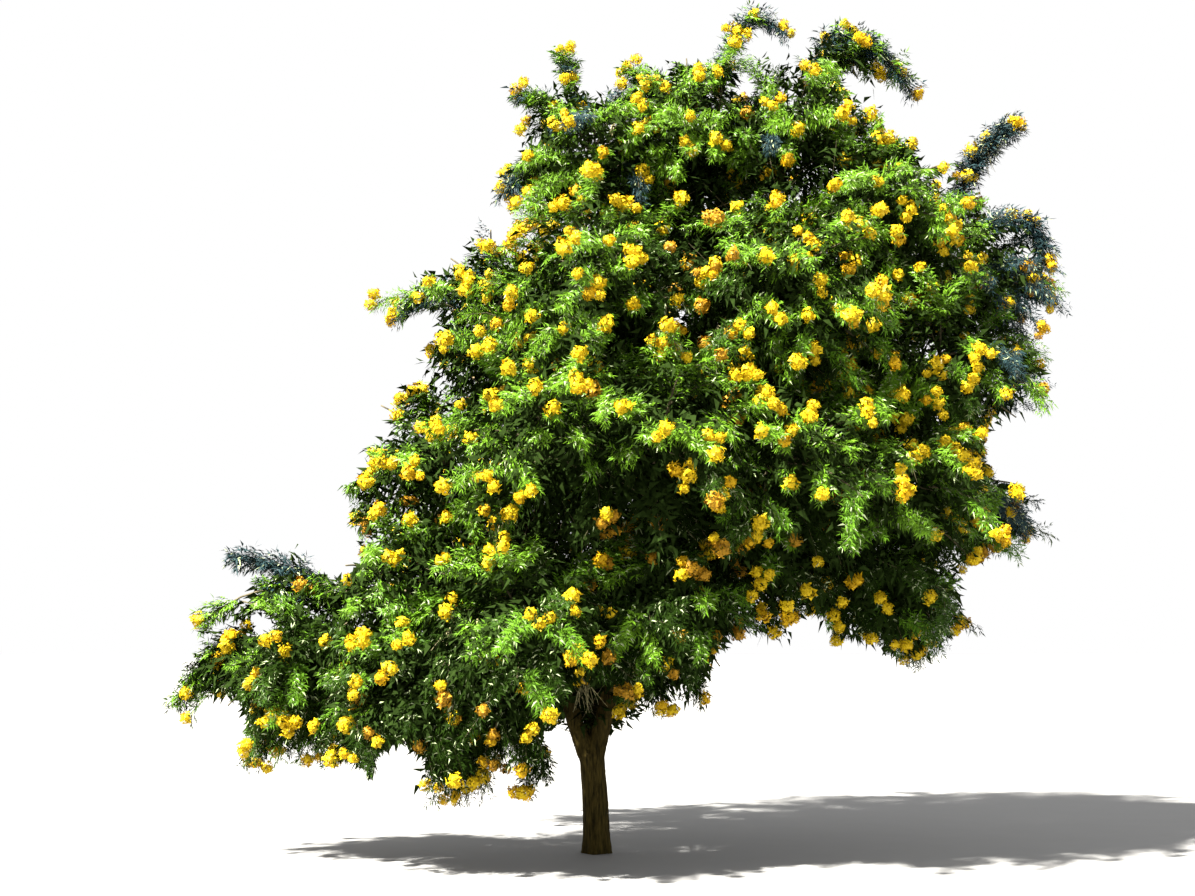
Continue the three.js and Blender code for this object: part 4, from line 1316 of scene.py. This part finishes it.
shade_to = np.concatenate([np.full(len(twigs), SHADE_TWIG_TO), np.full(len(shoots), SHADE_SHOOT_TO)])
hanging = weeping_axes & ~axis_plumed
standing = ~hanging
inner_hearts = np.tile(CROWN_MIDDLE, (len(inner_twigs), 1))
inner_ends = np.ones(len(inner_twigs))
shade_groups = [
    (axes[standing], axis_hearts[standing], shade_to[standing], SHADE_SIZE, leaves_within(SHADE_DEPTH)),
    (axes[hanging], axis_hearts[hanging], axis_ends[hanging], SHADE_SIZE, leaves_within(HEM_DEPTH)),
    (inner_twigs, inner_hearts, inner_ends, INNER_SIZE, inner_leaves),
]
shade = []
for wood, hearts, ends, size, kept in shade_groups:
    starts = np.zeros(len(wood))
    spaced = np.full(len(wood), SHADE_SPACING)
    grown = np.full(len(wood), size)
    shade.append(grow_leaves(wood, hearts, starts, ends, spaced, grown, kept, shade=True))
leaf_pieces("leaves_shade", np.concatenate(shade), LEAF_TINTS["leaves_shade"])

# Pods in hanging bunches

holds = dice.choice(np.flatnonzero(margin > POD_MARGIN), POD_BUNCHES, replace=False)
pods = []
for hold in [*axes[holds, 1], *FORK_PODS]:
    for _ in range(PODS_IN_BUNCH):
        aim = unit(-UP + dice.normal(0, POD_WANDER, 3))
        length = POD_LENGTH * dice.uniform(*POD_LENGTHS)
        sag = dice.normal(0, POD_SAG, 3)
        pods.append((hold, hold + aim * length * POD_BEND + sag, hold + aim * length))
pod_points, pod_faces = slender_tubes(np.array(pods), POD_RADIUS, POD_TIP_RADIUS, sides=4, rings=5)
rooted(joined_mesh("pods", pod_points, pod_faces, pod_skin), "foliage")

# Floor, light and camera

FLOOR_SIZE = 240
SUN_STRENGTH = 26
SUN_SPREAD = 1.5
SUN_COLOUR = (1.0, 0.96, 0.88)
CAMERA_TILT = 6.13
SENSOR_WIDTH = 36
FOCAL_PIXELS = 1733
PICTURE_PIXELS = 1195

select_only()
bpy.ops.mesh.primitive_plane_add(size=FLOOR_SIZE)
floor = bpy.context.object
floor.name = "floor"
floor.data.materials.append(floor_paint)

scene = bpy.context.scene
scene.view_settings.view_transform = "Standard"
world = bpy.data.worlds.new("soft_white")
scene.world = world
world.use_nodes = True
sky = world.node_tree.nodes["Background"]
sky.inputs["Color"].default_value = (1.0, 1.0, 1.0, 1)
sky.inputs["Strength"].default_value = 1.0

sun_light = bpy.data.lights.new("sun", "SUN")
sun_light.energy = SUN_STRENGTH
sun_light.angle = math.radians(SUN_SPREAD)
sun_light.color = SUN_COLOUR
sun = bpy.data.objects.new("sun", sun_light)
scene.collection.objects.link(sun)
sun.rotation_mode = "QUATERNION"
sun.rotation_quaternion = Vector(SUN_WAY).to_track_quat("Z", "Y")

camera_data = bpy.data.cameras.new("camera")
camera_data.lens = SENSOR_WIDTH * FOCAL_PIXELS / PICTURE_PIXELS
camera_data.sensor_width = SENSOR_WIDTH
camera = bpy.data.objects.new("camera", camera_data)
scene.collection.objects.link(camera)
camera.location = VIEW_POINT
camera.rotation_euler = (math.radians(90 + CAMERA_TILT), 0, 0)
scene.camera = camera

bpy.context.view_layer.update()
